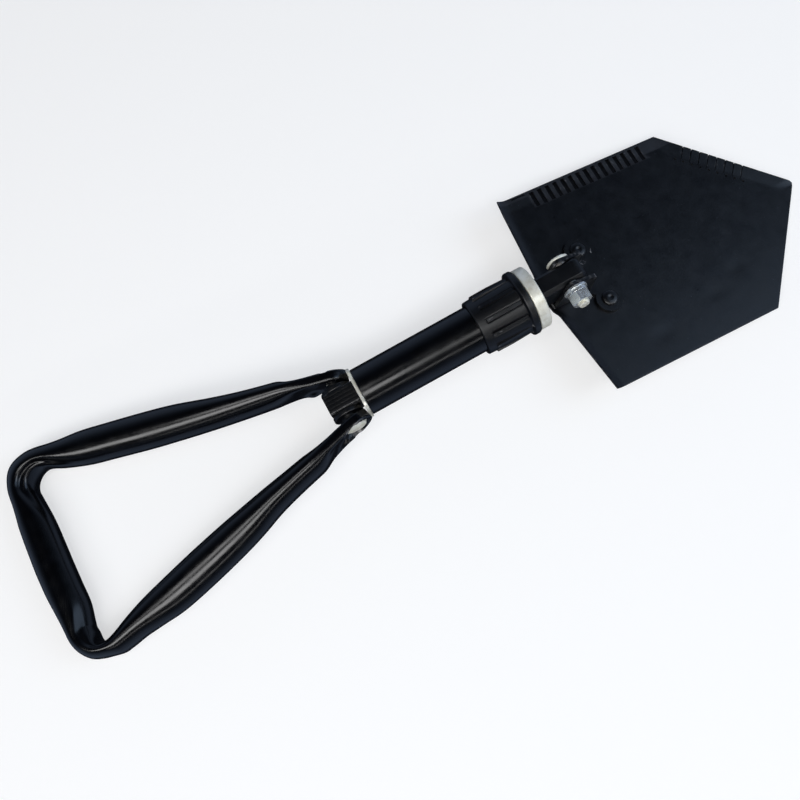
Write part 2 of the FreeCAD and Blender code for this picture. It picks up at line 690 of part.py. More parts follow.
def make_hinge_bracket():
    body = new_body("hinge_bracket")
    cheek_outside = "cheek_inside + bracket_thick"

    def base(sketch):
        half = [
            ("cheek_foot_rear", cheek_outside),
            ("cheek_foot_front", cheek_outside),
            ("lobe_along - lobe_radius * sin( 45 )", "lobe_across - lobe_radius * sin( 45 )"),
            ("lobe_along", "lobe_across"),
            ("bracket_front", "lobe_across"),
        ]
        polygon(sketch, half + [(along, f"-1 * ( {across} )") for along, across in reversed(half)])

    slab(body, "XY_Plane", "0", "bracket_thick", base)
    for side in ("", "-1 * "):
        slab(body, "XY_Plane", "0", "bracket_thick",
             lambda sketch, side=side: circle(sketch, "lobe_along", f"{side}lobe_across", "lobe_radius"))

    def cheek(sketch):
        polygon(sketch, [
            ("cheek_foot_rear", "cheek_root"),
            ("cheek_foot_front", "cheek_root"),
            ("cheek_top_front", "cheek_rise_front"),
            ("cheek_top_front - cheek_nose", "cheek_rise_front + cheek_nose_rise"),
            ("cheek_top_rear + cheek_corner", "cheek_rise_rear"),
            ("cheek_top_rear", "cheek_rise_rear - cheek_corner"),
            ("cheek_waist", "pivot_rise - 3"),
        ])

    slab(body, "XZ_Plane", "cheek_inside", cheek_outside, cheek)
    slab(body, "XZ_Plane", f"-1 * ( {cheek_outside} )", "-1 * cheek_inside", cheek)
    cut(body, "XZ_Plane", "-15", "15",
        lambda sketch: circle(sketch, "pivot_reach", "pivot_rise", "bolt_radius"))

    cut(body, "XY_Plane", "-1", "bracket_thick + 1",
        lambda sketch: rivet_holes(sketch, "stud_radius"))
    return body


def make_bracket_rivets():
    """Drawn along X, then stood on end: X becomes the blade's normal."""
    head = domed("bracket_thick", "stud_head_rise", "stud_head_radius")
    half = turned("bracket_rivet", [
        ("-1 * blade_thick", "0"),
        ("-1 * blade_thick", "stud_tail_radius"),
        ("stud_tail_thick - blade_thick", "stud_tail_radius"),
        ("stud_tail_thick - blade_thick", "stud_radius"),
        ("bracket_thick", "stud_radius"),
        *head,
    ])
    half.Placement = Placement(Vector(number("lobe_along"), number("lobe_across"), 0),
                               Rotation(Vector(0, 1, 0), -90))
    return mirrored_pair("bracket_rivets", half)


# The pivot bolt and what is on it, drawn along X: its head is on the +Y side of the blade.

def on_pivot(body):
    body.Placement = across_at("pivot_reach", "pivot_rise")
    return body


CHEEK_FACE = "cheek_inside + bracket_thick"
FLAT_WASHER_FACE = f"{CHEEK_FACE} + flat_washer_thick"
SPRING_WASHER_FACE = f"{FLAT_WASHER_FACE} + spring_washer_thick"
NUT_FACE = f"{SPRING_WASHER_FACE} + nut_thick"


def make_pivot_bolt():
    head = domed(CHEEK_FACE, "bolt_head_thick", "bolt_head_radius")
    tail = f"{NUT_FACE} + bolt_tail"
    return on_pivot(turned("pivot_bolt", [
        (f"-1 * ( {tail} )", "0"),
        (f"-1 * ( {tail} )", "bolt_radius - bolt_chamfer"),
        (f"-1 * ( {tail} ) + bolt_chamfer", "bolt_radius"),
        (CHEEK_FACE, "bolt_radius"),
        *head,
    ]))


def make_pivot_sleeve():
    return on_pivot(ring("pivot_sleeve", "-1 * cheek_inside", "cheek_inside",
                         "bolt_radius", "sleeve_radius"))


def make_bolt_washer():
    return on_pivot(ring("bolt_washer", f"-1 * ( {FLAT_WASHER_FACE} )", f"-1 * ( {CHEEK_FACE} )",
                         "bolt_radius", "flat_washer_radius"))


def make_lock_washer():
    """A spring washer with its split."""
    body = ring("lock_washer", f"-1 * ( {SPRING_WASHER_FACE} )", f"-1 * ( {FLAT_WASHER_FACE} )",
                "bolt_radius", "spring_washer_radius")
    cut(body, "YZ_Plane", f"-1 * ( {SPRING_WASHER_FACE} ) - 1", f"-1 * ( {FLAT_WASHER_FACE} ) + 1",
        lambda sketch: rectangle(sketch, "-1 * spring_washer_split", "-1 * spring_washer_radius - 1",
                                 "spring_washer_split", "0"))
    return on_pivot(body)


def make_pivot_nut():
    body = new_body("pivot_nut")

    def hexagon(sketch):
        corner = "nut_half_flats / cos( 30 )"
        polygon(sketch, [(f"{corner} * cos( {angle} )", f"{corner} * sin( {angle} )")
                         for angle in range(0, 360, 60)])
        circle(sketch, "0", "0", "bolt_radius")

    slab(body, "YZ_Plane", f"-1 * ( {NUT_FACE} )", f"-1 * ( {SPRING_WASHER_FACE} )", hexagon)
    return on_pivot(body)


# ---------------------------------------------------------------- where everything stands

def blade_frame():
    """The blade frame inside the tool frame: both share the blade hinge's axis."""
    hinge = Placement(Vector(number("hinge_along"), 0, number("hinge_high")),
                      Rotation(Vector(0, 1, 0), number("blade_pitch")))
    pivot = Vector(number("pivot_reach"), 0, number("pivot_rise"))
    return hinge.multiply(Placement(pivot * -1, Rotation()))


def standing():
    """The tool frame as the tool lies: the grip and the blade's tip on the ground, z = 0, and the
    origin under the middle of its length."""
    underside = Vector(number("blade_length"), 0, -number("blade_thick"))
    tip = blade_frame().multVec(underside)
    grip = Vector(number("grip_back"), 0, 0)
    radius = number("leg_radius")
    reach = tip - grip
    dip = -number(f"atan( {reach.z} / {reach.x} )")
    tilt = dip - number(f"asin( {radius} / {reach.Length} )")
    turn = Rotation(Vector(0, 1, 0), -tilt)
    rear = turn.multVec(grip).x - radius
    front = turn.multVec(blade_frame().multVec(Vector(number("blade_length"), 0, 0))).x
    floor = turn.multVec(grip).z - radius
    return Placement(Vector(-(rear + front) / 2, 0, -floor), turn)


STANDING = standing()

TOOL_PIECES = [
    make_shaft_tube, make_neck_plate, make_neck_block, make_shaft_head, make_head_pin,
    make_thread_sleeve, make_lock_collar, make_collar_nut, make_ring_clip, make_collar_ring,
    make_handle_frame, make_handle_rivet, make_neck_bushes, make_rivet_washers,
]
BLADE_PIECES = [
    make_blade, make_hinge_bracket, make_bracket_rivets,
    make_pivot_bolt, make_pivot_sleeve, make_bolt_washer, make_lock_washer, make_pivot_nut,
]

pieces = []
for frame, makers in ((STANDING, TOOL_PIECES), (STANDING.multiply(blade_frame()), BLADE_PIECES)):
    for maker in makers:
        piece = maker()
        piece.Placement = frame.multiply(piece.Placement)
        pieces.append(piece)

doc.recompute()

for item in doc.Objects:
    if "Invalid" in item.State or "Error" in item.State:
        raise RuntimeError(f"{item.Name} ({item.Label}) has failed: {item.State}")
for piece in pieces:
    if piece.Shape.isNull() or not piece.Shape.isValid() or not piece.Shape.Solids:
        raise RuntimeError(f"{piece.Label} is not a valid solid")

os.makedirs("parts", exist_ok=True)
for piece in pieces:
    piece.Shape.exportStep(os.path.join("parts", piece.Label + ".step"))
    print(f"{piece.Label:16s} {len(piece.Shape.Solids)} solids {piece.Shape.Volume / 1000:8.2f} cm3")
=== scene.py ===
import json
import math

import bmesh
import bpy
from mathutils import Matrix, Vector


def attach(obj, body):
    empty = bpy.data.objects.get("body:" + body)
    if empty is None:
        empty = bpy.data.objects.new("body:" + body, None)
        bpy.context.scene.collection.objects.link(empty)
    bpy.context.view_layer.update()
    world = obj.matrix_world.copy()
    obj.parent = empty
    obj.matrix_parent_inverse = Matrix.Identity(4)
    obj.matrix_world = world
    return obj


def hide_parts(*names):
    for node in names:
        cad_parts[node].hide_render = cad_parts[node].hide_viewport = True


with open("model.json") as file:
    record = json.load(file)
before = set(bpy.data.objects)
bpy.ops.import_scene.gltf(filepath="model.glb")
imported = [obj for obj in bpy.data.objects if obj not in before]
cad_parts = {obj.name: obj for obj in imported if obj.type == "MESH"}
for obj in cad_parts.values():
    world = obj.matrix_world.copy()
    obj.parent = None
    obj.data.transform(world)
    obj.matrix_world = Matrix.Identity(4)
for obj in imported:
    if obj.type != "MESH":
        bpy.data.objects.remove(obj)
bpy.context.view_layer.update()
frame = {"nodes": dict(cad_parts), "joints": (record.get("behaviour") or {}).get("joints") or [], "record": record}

# Shapes are drawn in millimetres in the two frames that the CAD model uses.
#   Tool frame:  X along the shaft towards the blade, Y across, Z up, with the shaft's axis at y = z = 0.
#   Blade frame: X along the blade from its back corners, Y across, Z out of its front face.
MM = 0.001
ACROSS = Vector((0, 1, 0))
NECK_PIVOT = (130.0, 0, 0)       # the handle's hinge, in the tool frame
BLADE_PIVOT = (3.35, 0, 21.7)    # the blade's hinge, in the blade frame

JOINTS = {joint["name"]: joint for joint in frame["joints"]}
MOUNTS = {mount["name"]: mount for mount in frame["record"]["mounts"]}


def frame_at(place, along, offset):
    """The matrix from millimetres in a frame to the row frame, with the frame's point `offset` at
    `place`."""
    along = along.normalized()
    axes = Matrix((along, ACROSS, along.cross(ACROSS))).transposed().to_4x4()
    return Matrix.Translation(place) @ axes @ Matrix.Scale(MM, 4) @ Matrix.Translation(-Vector(offset))


SHAFT_DIRECTION = Vector(JOINTS["ring_slide"]["axis"])
BLADE_NORMAL = -Vector(MOUNTS["blade_back"]["axis"])
TOOL = frame_at(Vector(JOINTS["handle_fold"]["pos_m"]), SHAFT_DIRECTION, NECK_PIVOT)
BLADE = frame_at(Vector(JOINTS["blade_fold"]["pos_m"]), ACROSS.cross(BLADE_NORMAL), BLADE_PIVOT)
# Pieces turned about a hinge pin are drawn along X and laid across, so that their X points to +Y.
CROSSWISE = Matrix.Rotation(math.pi / 2, 4, "Z")
NECK_PIN = TOOL @ Matrix.Translation(NECK_PIVOT) @ CROSSWISE
BLADE_PIN = BLADE @ Matrix.Translation(BLADE_PIVOT) @ CROSSWISE


# ---- curves

def clamp(value, low=0.0, high=1.0):
    return min(max(value, low), high)


def smooth(value):
    value = clamp(value)
    return value * value * (3 - 2 * value)


def mix(a, b, share):
    return a + (b - a) * share


def bell(value, width):
    return math.exp(-(value / width) ** 2)


def through(keys, at):
    """Values on a smooth curve through keys of (place, value, value...)."""
    at = clamp(at, keys[0][0], keys[-1][0])
    i = next(i for i in range(len(keys) - 1) if at <= keys[i + 1][0])
    start, end = keys[i], keys[i + 1]
    before, after = keys[max(i - 1, 0)], keys[min(i + 2, len(keys) - 1)]
    span = end[0] - start[0]
    t = (at - start[0]) / span
    values = []
    for k in range(1, len(start)):
        leaving = (end[k] - before[k]) / (end[0] - before[0]) * span
        arriving = (after[k] - start[k]) / (after[0] - start[0]) * span
        value = mix(start[k], end[k], t * t * (3 - 2 * t))
        values.append(value + t * (1 - t) * ((1 - t) * leaving - t * arriving))
    return values


def rectangle(half_width, low, high):
    return [(-half_width, low), (half_width, low), (half_width, high), (-half_width, high)]


def rounded(corners, radius, steps=4, closed=True):
    """A plane polyline with its corners turned into arcs. A radius of None keeps a corner sharp, and
    a list gives each corner its own."""
    count = len(corners)
    radii = radius if isinstance(radius, (list, tuple)) else [radius] * count
    points = []
    for i, (corner, reach) in enumerate(zip(corners, radii)):
        at_end = not closed and i in (0, count - 1)
        corner = Vector(corner)
        if at_end or not reach:
            points.append(corner)
            continue
        back = Vector(corners[i - 1]) - corner
        ahead = Vector(corners[(i + 1) % count]) - corner
        half = back.angle(ahead) / 2
        tangent = min(reach / math.tan(half), 0.48 * back.length, 0.48 * ahead.length)
        bow = tangent * math.tan(half)
        centre = corner + (back.normalized() + ahead.normalized()).normalized() * (bow / math.sin(half))
        first = corner + back.normalized() * tangent - centre
        last = corner + ahead.normalized() * tangent - centre
        turn = first.angle_signed(last)
        for step in range(steps + 1):
            points.append(centre + first @ Matrix.Rotation(turn * step / steps, 2))
    return points


def resampled(points, count):
    """`count` points evenly spaced along an open polyline."""
    lengths = [0.0]
    for a, b in zip(points, points[1:]):
        lengths.append(lengths[-1] + (b - a).length)
    result = []
    span = 0
    for i in range(count):
        goal = lengths[-1] * i / (count - 1)
        while span < len(points) - 2 and lengths[span + 1] < goal:
            span += 1
        share = (goal - lengths[span]) / max(lengths[span + 1] - lengths[span], 1e-9)
        result.append(points[span].lerp(points[span + 1], clamp(share)))
    return result


def inset(outline, depth):
    """A closed outline moved inwards."""
    count = len(outline)
    area = sum(a.x * b.y - b.x * a.y for a, b in zip(outline, outline[1:] + outline[:1]))
    side = 1 if area > 0 else -1
    moved = []
    for i, point in enumerate(outline):
        before = (point - outline[i - 1]).normalized()
        after = (outline[(i + 1) % count] - point).normalized()
        normals = [Vector((-edge.y, edge.x)) * side for edge in (before, after)]
        middle = (normals[0] + normals[1]).normalized()
        moved.append(point + middle * depth / max(middle.dot(normals[0]), 0.4))
    return moved


# ---- solids

def skin(rings, wrap=False):
    """A closed surface over rings of points, all of one count: capped, or wrapped round on itself."""
    bm = bmesh.new()
    rows = [[bm.verts.new(point) for point in ring] for ring in rings]
    count = len(rows[0])
    pairs = list(zip(rows, rows[1:]))
    if wrap:
        pairs.append((rows[-1], rows[0]))
    for low, high in pairs:
        for i in range(count):
            following = (i + 1) % count
            bm.faces.new((low[i], low[following], high[following], high[i]))
    if not wrap:
        bm.faces.new(rows[0])
        bm.faces.new(rows[-1])
    bmesh.ops.remove_doubles(bm, verts=bm.verts, dist=1e-4)
    bmesh.ops.dissolve_degenerate(bm, edges=bm.edges, dist=1e-5)
    bmesh.ops.recalc_face_normals(bm, faces=bm.faces)
    return bm


def even_angles(count):
    return [2 * math.pi * i / count for i in range(count)]


def turned(profile, angles=96, reach=None, wrap=True):
    """A solid turned about X from (along, radius) points. reach(along, radius, angle) may change the
    radius on the way round."""
    if isinstance(angles, int):
        angles = even_angles(angles)
    rings = []
    for along, radius in profile:
        ring = []
        for angle in angles:
            far = reach(along, radius, angle) if reach else radius
            ring.append((along, far * math.cos(angle), far * math.sin(angle)))
        rings.append(ring)
    return skin(rings, wrap)


LAYOUT = {
    "XY": lambda u, v, level: (u, v, level),
    "XZ": lambda u, v, level: (u, level, v),
    "YZ": lambda u, v, level: (level, u, v),
}


def prism(outline, plane, low, high, bevel=0.5, steps=3):
    """An outline given thickness, with rounded edges at both faces."""
    lay = LAYOUT[plane]
    rings = []
    for face, inward in ((low, 1), (high, -1)):
        edge = []
        for step in range(steps + 1):
            angle = math.pi / 2 * step / steps
            depth = bevel * (1 - math.sin(angle))
            level = face + inward * bevel * (1 - math.cos(angle))
            edge.append([lay(p.x, p.y, level) for p in inset(outline, depth)])
        rings += edge if inward == 1 else edge[::-1]
    return skin(rings)


def mesh_of(bm, name, place):
    """A new object made of a bmesh, with its points already in the row frame."""
    mesh = bpy.data.meshes.new(name)
    bm.to_mesh(mesh)
    bm.free()
    mesh.transform(place)
    obj = bpy.data.objects.new(name, mesh)
    bpy.context.scene.collection.objects.link(obj)
    return obj


def joined(first, second, operation):
    """Changes the first object by the second, which is used up."""
    change = first.modifiers.new("change", "BOOLEAN")
    change.operation = operation
    change.solver = "EXACT"
    change.object = second
    baked(first)
    bpy.data.objects.remove(second)


def baked(obj):
    """Applies an object's modifiers to its mesh."""
    graph = bpy.context.evaluated_depsgraph_get()
    mesh = bpy.data.meshes.new_from_object(obj.evaluated_get(graph))
    old = obj.data
    obj.modifiers.clear()
    obj.data = mesh
    bpy.data.meshes.remove(old)
    mesh.name = obj.name


def finished(obj, body, material, nodes, crease=38, edge=None):
    """Smooth shading with crisp creases, a material, and the place in the frame. `crease` is the angle
    from which an edge stays crisp, and `edge` bevels those edges first."""
    if edge:
        bevel = obj.modifiers.new("edges", "BEVEL")
        bevel.width = edge * MM
        bevel.segments = 2
        bevel.limit_method = "ANGLE"
        bevel.angle_limit = math.radians(crease)
        baked(obj)
    obj.data.shade_smooth()
    obj.data.set_sharp_from_angle(angle=math.radians(crease))
    obj.data.materials.clear()
    obj.data.materials.append(material)
    normals = obj.modifiers.new("normals", "WEIGHTED_NORMAL")
    normals.keep_sharp = True
    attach(obj, body)
    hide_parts(*nodes)


def outward(obj):
    """Turns the faces outwards again after a mirror."""
    bm = bmesh.new()
    bm.from_mesh(obj.data)
    bmesh.ops.recalc_face_normals(bm, faces=bm.faces)
    bm.to_mesh(obj.data)
    bm.free()


# ---- materials

def fill_ramp(node, stops):
    """Sets a ramp's colours or numbers, each stop a pair of place and value."""
    elements = node.color_ramp.elements
    while len(elements) < len(stops):
        elements.new(0.5)
    for element, (place, value) in zip(elements, stops):
        element.position = place
        colour = value if isinstance(value, tuple) else (value, value, value)
        element.color = (*colour, 1)


class Nodes:
    """A material's node tree, with short ways to add to it. Lengths are in millimetres."""

    def __init__(self, name, **settings):
        self.material = bpy.data.materials.new(name)
        self.material.use_nodes = True
        self.tree = self.material.node_tree
        self.shader = self.tree.nodes["Principled BSDF"]
        self.where = self.tree.nodes.new("ShaderNodeTexCoord").outputs["Object"]
        for socket, value in settings.items():
            self.shader.inputs[socket.replace("_", " ")].default_value = value

    def link(self, output, node, socket):
        self.tree.links.new(output, node.inputs[socket])

    def new(self, kind, **values):
        node = self.tree.nodes.new("ShaderNode" + kind)
        for socket, value in values.items():
            node.inputs[socket].default_value = value
        return node

    def stretched(self, scale):
        mapping = self.new("Mapping", Scale=scale)
        self.link(self.where, mapping, "Vector")
        return mapping.outputs["Vector"]

    def noise(self, size, detail=3.0, roughness=0.5, where=None):
        node = self.new("TexNoise", Scale=1 / (size * MM), Detail=detail, Roughness=roughness)
        self.link(where or self.where, node, "Vector")
        return node.outputs["Fac"]

    def grains(self, size):
        node = self.new("TexVoronoi", Scale=1 / (size * MM))
        self.link(self.where, node, "Vector")
        return node.outputs["Distance"]

    def ramp(self, source, stops, socket=None):
        node = self.new("ValToRGB")
        fill_ramp(node, stops)
        self.link(source, node, "Fac")
        if socket:
            self.link(node.outputs["Color"], self.shader, socket)
        return node.outputs["Color"]

    def blended(self, share, first, second, socket=None, blend="MIX"):
        node = self.new("Mix")
        node.data_type = "RGBA"
        node.blend_type = blend
        for value, slot in ((share, 0), (first, 6), (second, 7)):
            if isinstance(value, bpy.types.NodeSocket):
                self.tree.links.new(value, node.inputs[slot])
            elif slot:
                node.inputs[slot].default_value = (*value, 1)
            else:
                node.inputs[slot].default_value = value
        if socket:
            self.link(node.outputs[2], self.shader, socket)
        return node.outputs[2]

    def bumps(self, *layers):
        """Layers of (height, depth in millimetres, strength)."""
        normal = None
        for height, depth, strength in layers:
            node = self.new("Bump", Distance=depth * MM, Strength=strength)
            self.link(height, node, "Height")
            if normal:
                self.link(normal, node, "Normal")
            normal = node.outputs["Normal"]
        self.link(normal, self.shader, "Normal")


# Paint where it is thickest and where it has thinned, two lighter greys that are a painted highlight, then what
# shows through and what lies on it.
BLACK_DEEP = (0.0005, 0.0006, 0.0010)
BLACK_WORN = (0.0015, 0.0019, 0.0031)
# Painted highlight: two lighter greys for the sheen on the strip along the blade's +Y side.
SHEEN_GREY_DARK = (0.0085, 0.0090, 0.0115)
SHEEN_GREY_LIGHT = (0.0150, 0.0155, 0.0190)
BARE_METAL = (0.30, 0.30, 0.31)
GRIT = (0.0055, 0.0062, 0.0090)
DUST = (0.05, 0.055, 0.07)


def worn_edges(nodes, low, high):
    """A mask that is white along sharp outward edges, broken up by noise."""
    geometry = nodes.new("NewGeometry")
    edges = nodes.ramp(geometry.outputs["Pointiness"], [(low, 0.0), (high, 1.0)])
    patches = nodes.ramp(nodes.noise(3.0, 5.0, 0.65), [(0.50, 0.0), (0.62, 1.0)])
    return nodes.blended(1.0, edges, patches, blend="MULTIPLY")


def black_enamel(name, gloss, grain_size, grain_depth, grain_strength, specks=False,
                 tones=(BLACK_DEEP, BLACK_WORN), shine=0.5):
    """Baked enamel: an orange peel surface, faint cloudiness, and wear on the edges. `gloss` is its
    middle roughness, the grain is the peel, and specks are grit and dust."""
    nodes = Nodes(name, Metallic=0.0, IOR=1.5, Specular_IOR_Level=shine)
    clouds = nodes.noise(14.0, 4.0, 0.6)
    paint = nodes.ramp(clouds, [(0.35, tones[0]), (0.70, tones[1])])
    if specks:
        grit = nodes.ramp(nodes.noise(0.8, 2.0, 0.6), [(0.40, 0.0), (0.72, 0.5)])
        paint = nodes.blended(grit, paint, GRIT)
        dust = nodes.ramp(nodes.grains(5.0), [(0.035, 1.0), (0.05, 0.0)])
        paint = nodes.blended(dust, paint, DUST)
    nodes.blended(worn_edges(nodes, 0.535, 0.60), paint, BARE_METAL, "Base Color")
    scuffs = nodes.noise(1.0, 3.0, 0.6, nodes.stretched((1, 9, 9)))
    gloss_map = nodes.blended(0.35, nodes.noise(9.0, 4.0, 0.6), scuffs)
    nodes.ramp(gloss_map, [(0.30, gloss - 0.06), (0.72, gloss + 0.10)], "Roughness")
    peel = nodes.noise(grain_size, 2.0, 0.5)
    nodes.bumps((nodes.noise(11.0, 2.0, 0.5), 0.12, 0.5), (peel, grain_depth, grain_strength))
    return nodes.material


def zinc(name):
    """Warm grey zinc plating, dull, with stains, a fine grain and small pits."""
    nodes = Nodes(name, Metallic=0.45)
    stains = nodes.noise(5.0, 5.0, 0.65)
    plate = nodes.ramp(stains, [(0.30, (0.74, 0.70, 0.56)), (0.55, (0.93, 0.91, 0.80)),
                                (0.8, (0.97, 0.96, 0.88))])
    pits = nodes.ramp(nodes.grains(1.3), [(0.05, 1.0), (0.13, 0.0)])
    nodes.blended(pits, plate, (0.55, 0.52, 0.42), "Base Color")
    nodes.ramp(nodes.noise(2.0, 4.0, 0.6), [(0.3, 0.30), (0.7, 0.50)], "Roughness")
    nodes.bumps((nodes.noise(0.5, 2.0, 0.6), 0.05, 0.5), (pits, 0.05, 0.3))
    return nodes.material


def bright_plate(name):
    """Bright plating with a cool cast, faint smears and a softly uneven surface."""
    nodes = Nodes(name, Metallic=0.8)
    smears = nodes.noise(3.0, 4.0, 0.6)
    nodes.ramp(smears, [(0.3, (0.72, 0.77, 0.80)), (0.7, (0.92, 0.93, 0.90))], "Base Color")
    nodes.ramp(nodes.noise(3.0, 2.0, 0.5), [(0.3, 0.16), (0.7, 0.26)], "Roughness")
    nodes.bumps((nodes.noise(4.0, 2.0, 0.5), 0.03, 0.3))
    return nodes.material


def bare_steel(name):
    """Machined steel with turning marks and an oily tint."""
    nodes = Nodes(name, Metallic=1.0)
    oil = nodes.noise(4.0, 4.0, 0.6)
    nodes.ramp(oil, [(0.3, (0.30, 0.28, 0.26)), (0.7, (0.50, 0.49, 0.47))], "Base Color")
    nodes.ramp(nodes.noise(1.0, 3.0, 0.6), [(0.3, 0.25), (0.7, 0.5)], "Roughness")
    nodes.bumps((nodes.noise(0.4, 2.0, 0.6, nodes.stretched((6, 1, 1))), 0.03, 0.6))
    return nodes.material


TUBE_BLACK = black_enamel("tube_black", 0.19, 1.6, 0.015, 0.25)
BLADE_BLACK = black_enamel("blade_black", 0.33, 0.9, 0.05, 0.60, specks=True)
# The +Y strip of the blade takes a lighter grey: a painted highlight for the sheen that strip catches.
STRIP_SHEEN_BLACK = black_enamel("strip_sheen_black", 0.36, 0.9, 0.05, 0.60, tones=(SHEEN_GREY_DARK, SHEEN_GREY_LIGHT))
# Painted shade in the serrations: the same black made duller and less shiny, so that the grooves read dark.
GROOVE_SHADE_BLACK = black_enamel("groove_shade_black", 0.50, 0.9, 0.05, 0.60, shine=0.16)
FORGED_BLACK = black_enamel("forged_black", 0.34, 1.1, 0.06, 0.55)
COLLAR_BLACK = black_enamel("collar_black", 0.38, 1.3, 0.02, 0.35)
ZINC = zinc("zinc_plate")
BRIGHT = bright_plate("bright_plate")
STEEL = bare_steel("bare_steel")


# ---- shaft

TUBE_RADIUS = 16.0
TUBE_WALL = 1.6
TUBE_FRONT = 256.0
PLUG_RADIUS = TUBE_RADIUS - TUBE_WALL - 0.1
PLUG_LENGTH = 24
PLATE_REAR = 141.6
PLATE_FRONT = 143.8
BLOCK_REAR = 120.3
BLOCK_HALF = 7.0
BLOCK_LOW = -8.5
BLOCK_HIGH = 10.5


def shaft_tube():
    """A plain tube with its edges taken off."""
    inner = TUBE_RADIUS - TUBE_WALL
    profile = rounded([(PLATE_FRONT, inner), (PLATE_FRONT, TUBE_RADIUS), (TUBE_FRONT, TUBE_RADIUS),
                       (TUBE_FRONT, inner)], [0.2, 0.7, 0.5, 0.2])
    tube = mesh_of(turned(profile, 128), "shaft_tube_skin", TOOL)
    finished(tube, "shaft", TUBE_BLACK, ["shaft_tube"])


def neck_plate():
    """The plate is a rounded square with the block's section cut out of it."""
    half_width, half_height = 15.0, 14.0
    square = rounded(rectangle(half_width, -half_height, half_height), 4.5, 8)
    plate = mesh_of(prism(square, "YZ", PLATE_REAR, PLATE_FRONT, 0.5), "neck_plate_skin", TOOL)
    hole = rounded(rectangle(BLOCK_HALF, BLOCK_LOW, BLOCK_HIGH), 1.2)
    punch = mesh_of(prism(hole, "YZ", PLATE_REAR - 3, PLATE_FRONT + 3, 0.1), "punch", TOOL)
    joined(plate, punch, "DIFFERENCE")
    finished(plate, "shaft", ZINC, ["neck_plate"])


def neck_block():
    """A bar with rounded edges and shallow drawn lines along its top; its plug is out of sight."""
    floor = BLOCK_HIGH - 0.04
    floor_half, groove_half = 0.2, 0.7
    top = []
    for middle in (4.2, 1.6, -1.0, -3.6):
        top += [(middle + groove_half, BLOCK_HIGH), (middle + floor_half, floor),
                (middle - floor_half, floor), (middle - groove_half, BLOCK_HIGH)]
    corners = [(-BLOCK_HALF, BLOCK_LOW), (BLOCK_HALF, BLOCK_LOW), (BLOCK_HALF, BLOCK_HIGH), *top,
               (-BLOCK_HALF, BLOCK_HIGH)]
    section = rounded(corners, [1.2, 1.2, 1.2, *([0.4] * len(top)), 1.6])
    bar = mesh_of(prism(section, "YZ", BLOCK_REAR, PLATE_FRONT, 0.15), "neck_block_skin", TOOL)
    rear, front = PLATE_FRONT - 0.01, PLATE_FRONT + PLUG_LENGTH
    profile = [(rear, 0), (rear, PLUG_RADIUS), (front, PLUG_RADIUS), (front, 0)]
    joined(bar, mesh_of(turned(profile, 64, wrap=False), "plug", TOOL), "UNION")
    finished(bar, "shaft", FORGED_BLACK, ["neck_block"])


TONGUE_HALF = 7.4
TONGUE_LOW = -10.0
TONGUE_HIGH = 11.0
TONGUE_FRONT = 305.5
HEAD_FLANGE = 258.5


def shaft_head():
    """A plug and flange with a tongue: a bar with chamfered top edges, whose end is rounded from above
    and from below."""
    end_low = 8.0
    end_high = 5.0
    rings = []
    stations = [HEAD_FLANGE - 1, 262, 280, TONGUE_FRONT - end_low]
    stations += [TONGUE_FRONT - end_low * (1 - math.sin(math.pi / 2 * i / 10)) for i in range(1, 11)]
    for along in stations:
        left = TONGUE_FRONT - along
        low = TONGUE_LOW + end_low - math.sqrt(max(end_low ** 2 - max(end_low - left, 0) ** 2, 0))
        high = TONGUE_HIGH - end_high + math.sqrt(max(end_high ** 2 - max(end_high - left, 0) ** 2, 0))
        half = TONGUE_HALF - 0.8 * (1 - math.sqrt(1 - max(1 - left / 1.5, 0) ** 2))
        corners = [(-half, low), (half, low), (half, high - 2.2), (half - 2.2, high),
                   (2.6 - half, high), (-half, high - 2.6)]
        section = rounded(corners, [1.2, 1.2, 0.7, 0.7, 0.8, 0.8], 3)
        rings.append([(along, p.x, p.y) for p in section])
    tongue = mesh_of(skin(rings), "shaft_head_skin", TOOL)
    plug_rear = TUBE_FRONT - PLUG_LENGTH
    profile = rounded([
        (plug_rear, 0), (plug_rear, PLUG_RADIUS), (TUBE_FRONT, PLUG_RADIUS),
        (TUBE_FRONT, TUBE_RADIUS), (HEAD_FLANGE, TUBE_RADIUS), (HEAD_FLANGE, 0),
    ], [None, 0.4, None, 0.4, 0.4, None], closed=False)
    joined(tongue, mesh_of(turned(profile, 64, wrap=False), "flange", TOOL), "UNION")
    finished(tongue, "shaft", FORGED_BLACK, ["shaft_head"])


# ---- lock collar and thrust ring

COLLAR_REAR = 227.5
COLLAR_FRONT = 263.7
RIB_COUNT = 12
RIB_FIRST = math.radians(15.5)
RIB_HALF = math.radians(4.2)
RIB_FLANK = math.radians(0.9)
RIB_TOP = 20.2
MOAT_TURN = math.radians(2.2)    # a shallow moat runs along each side of a rib
MOAT_DEPTH = 0.45


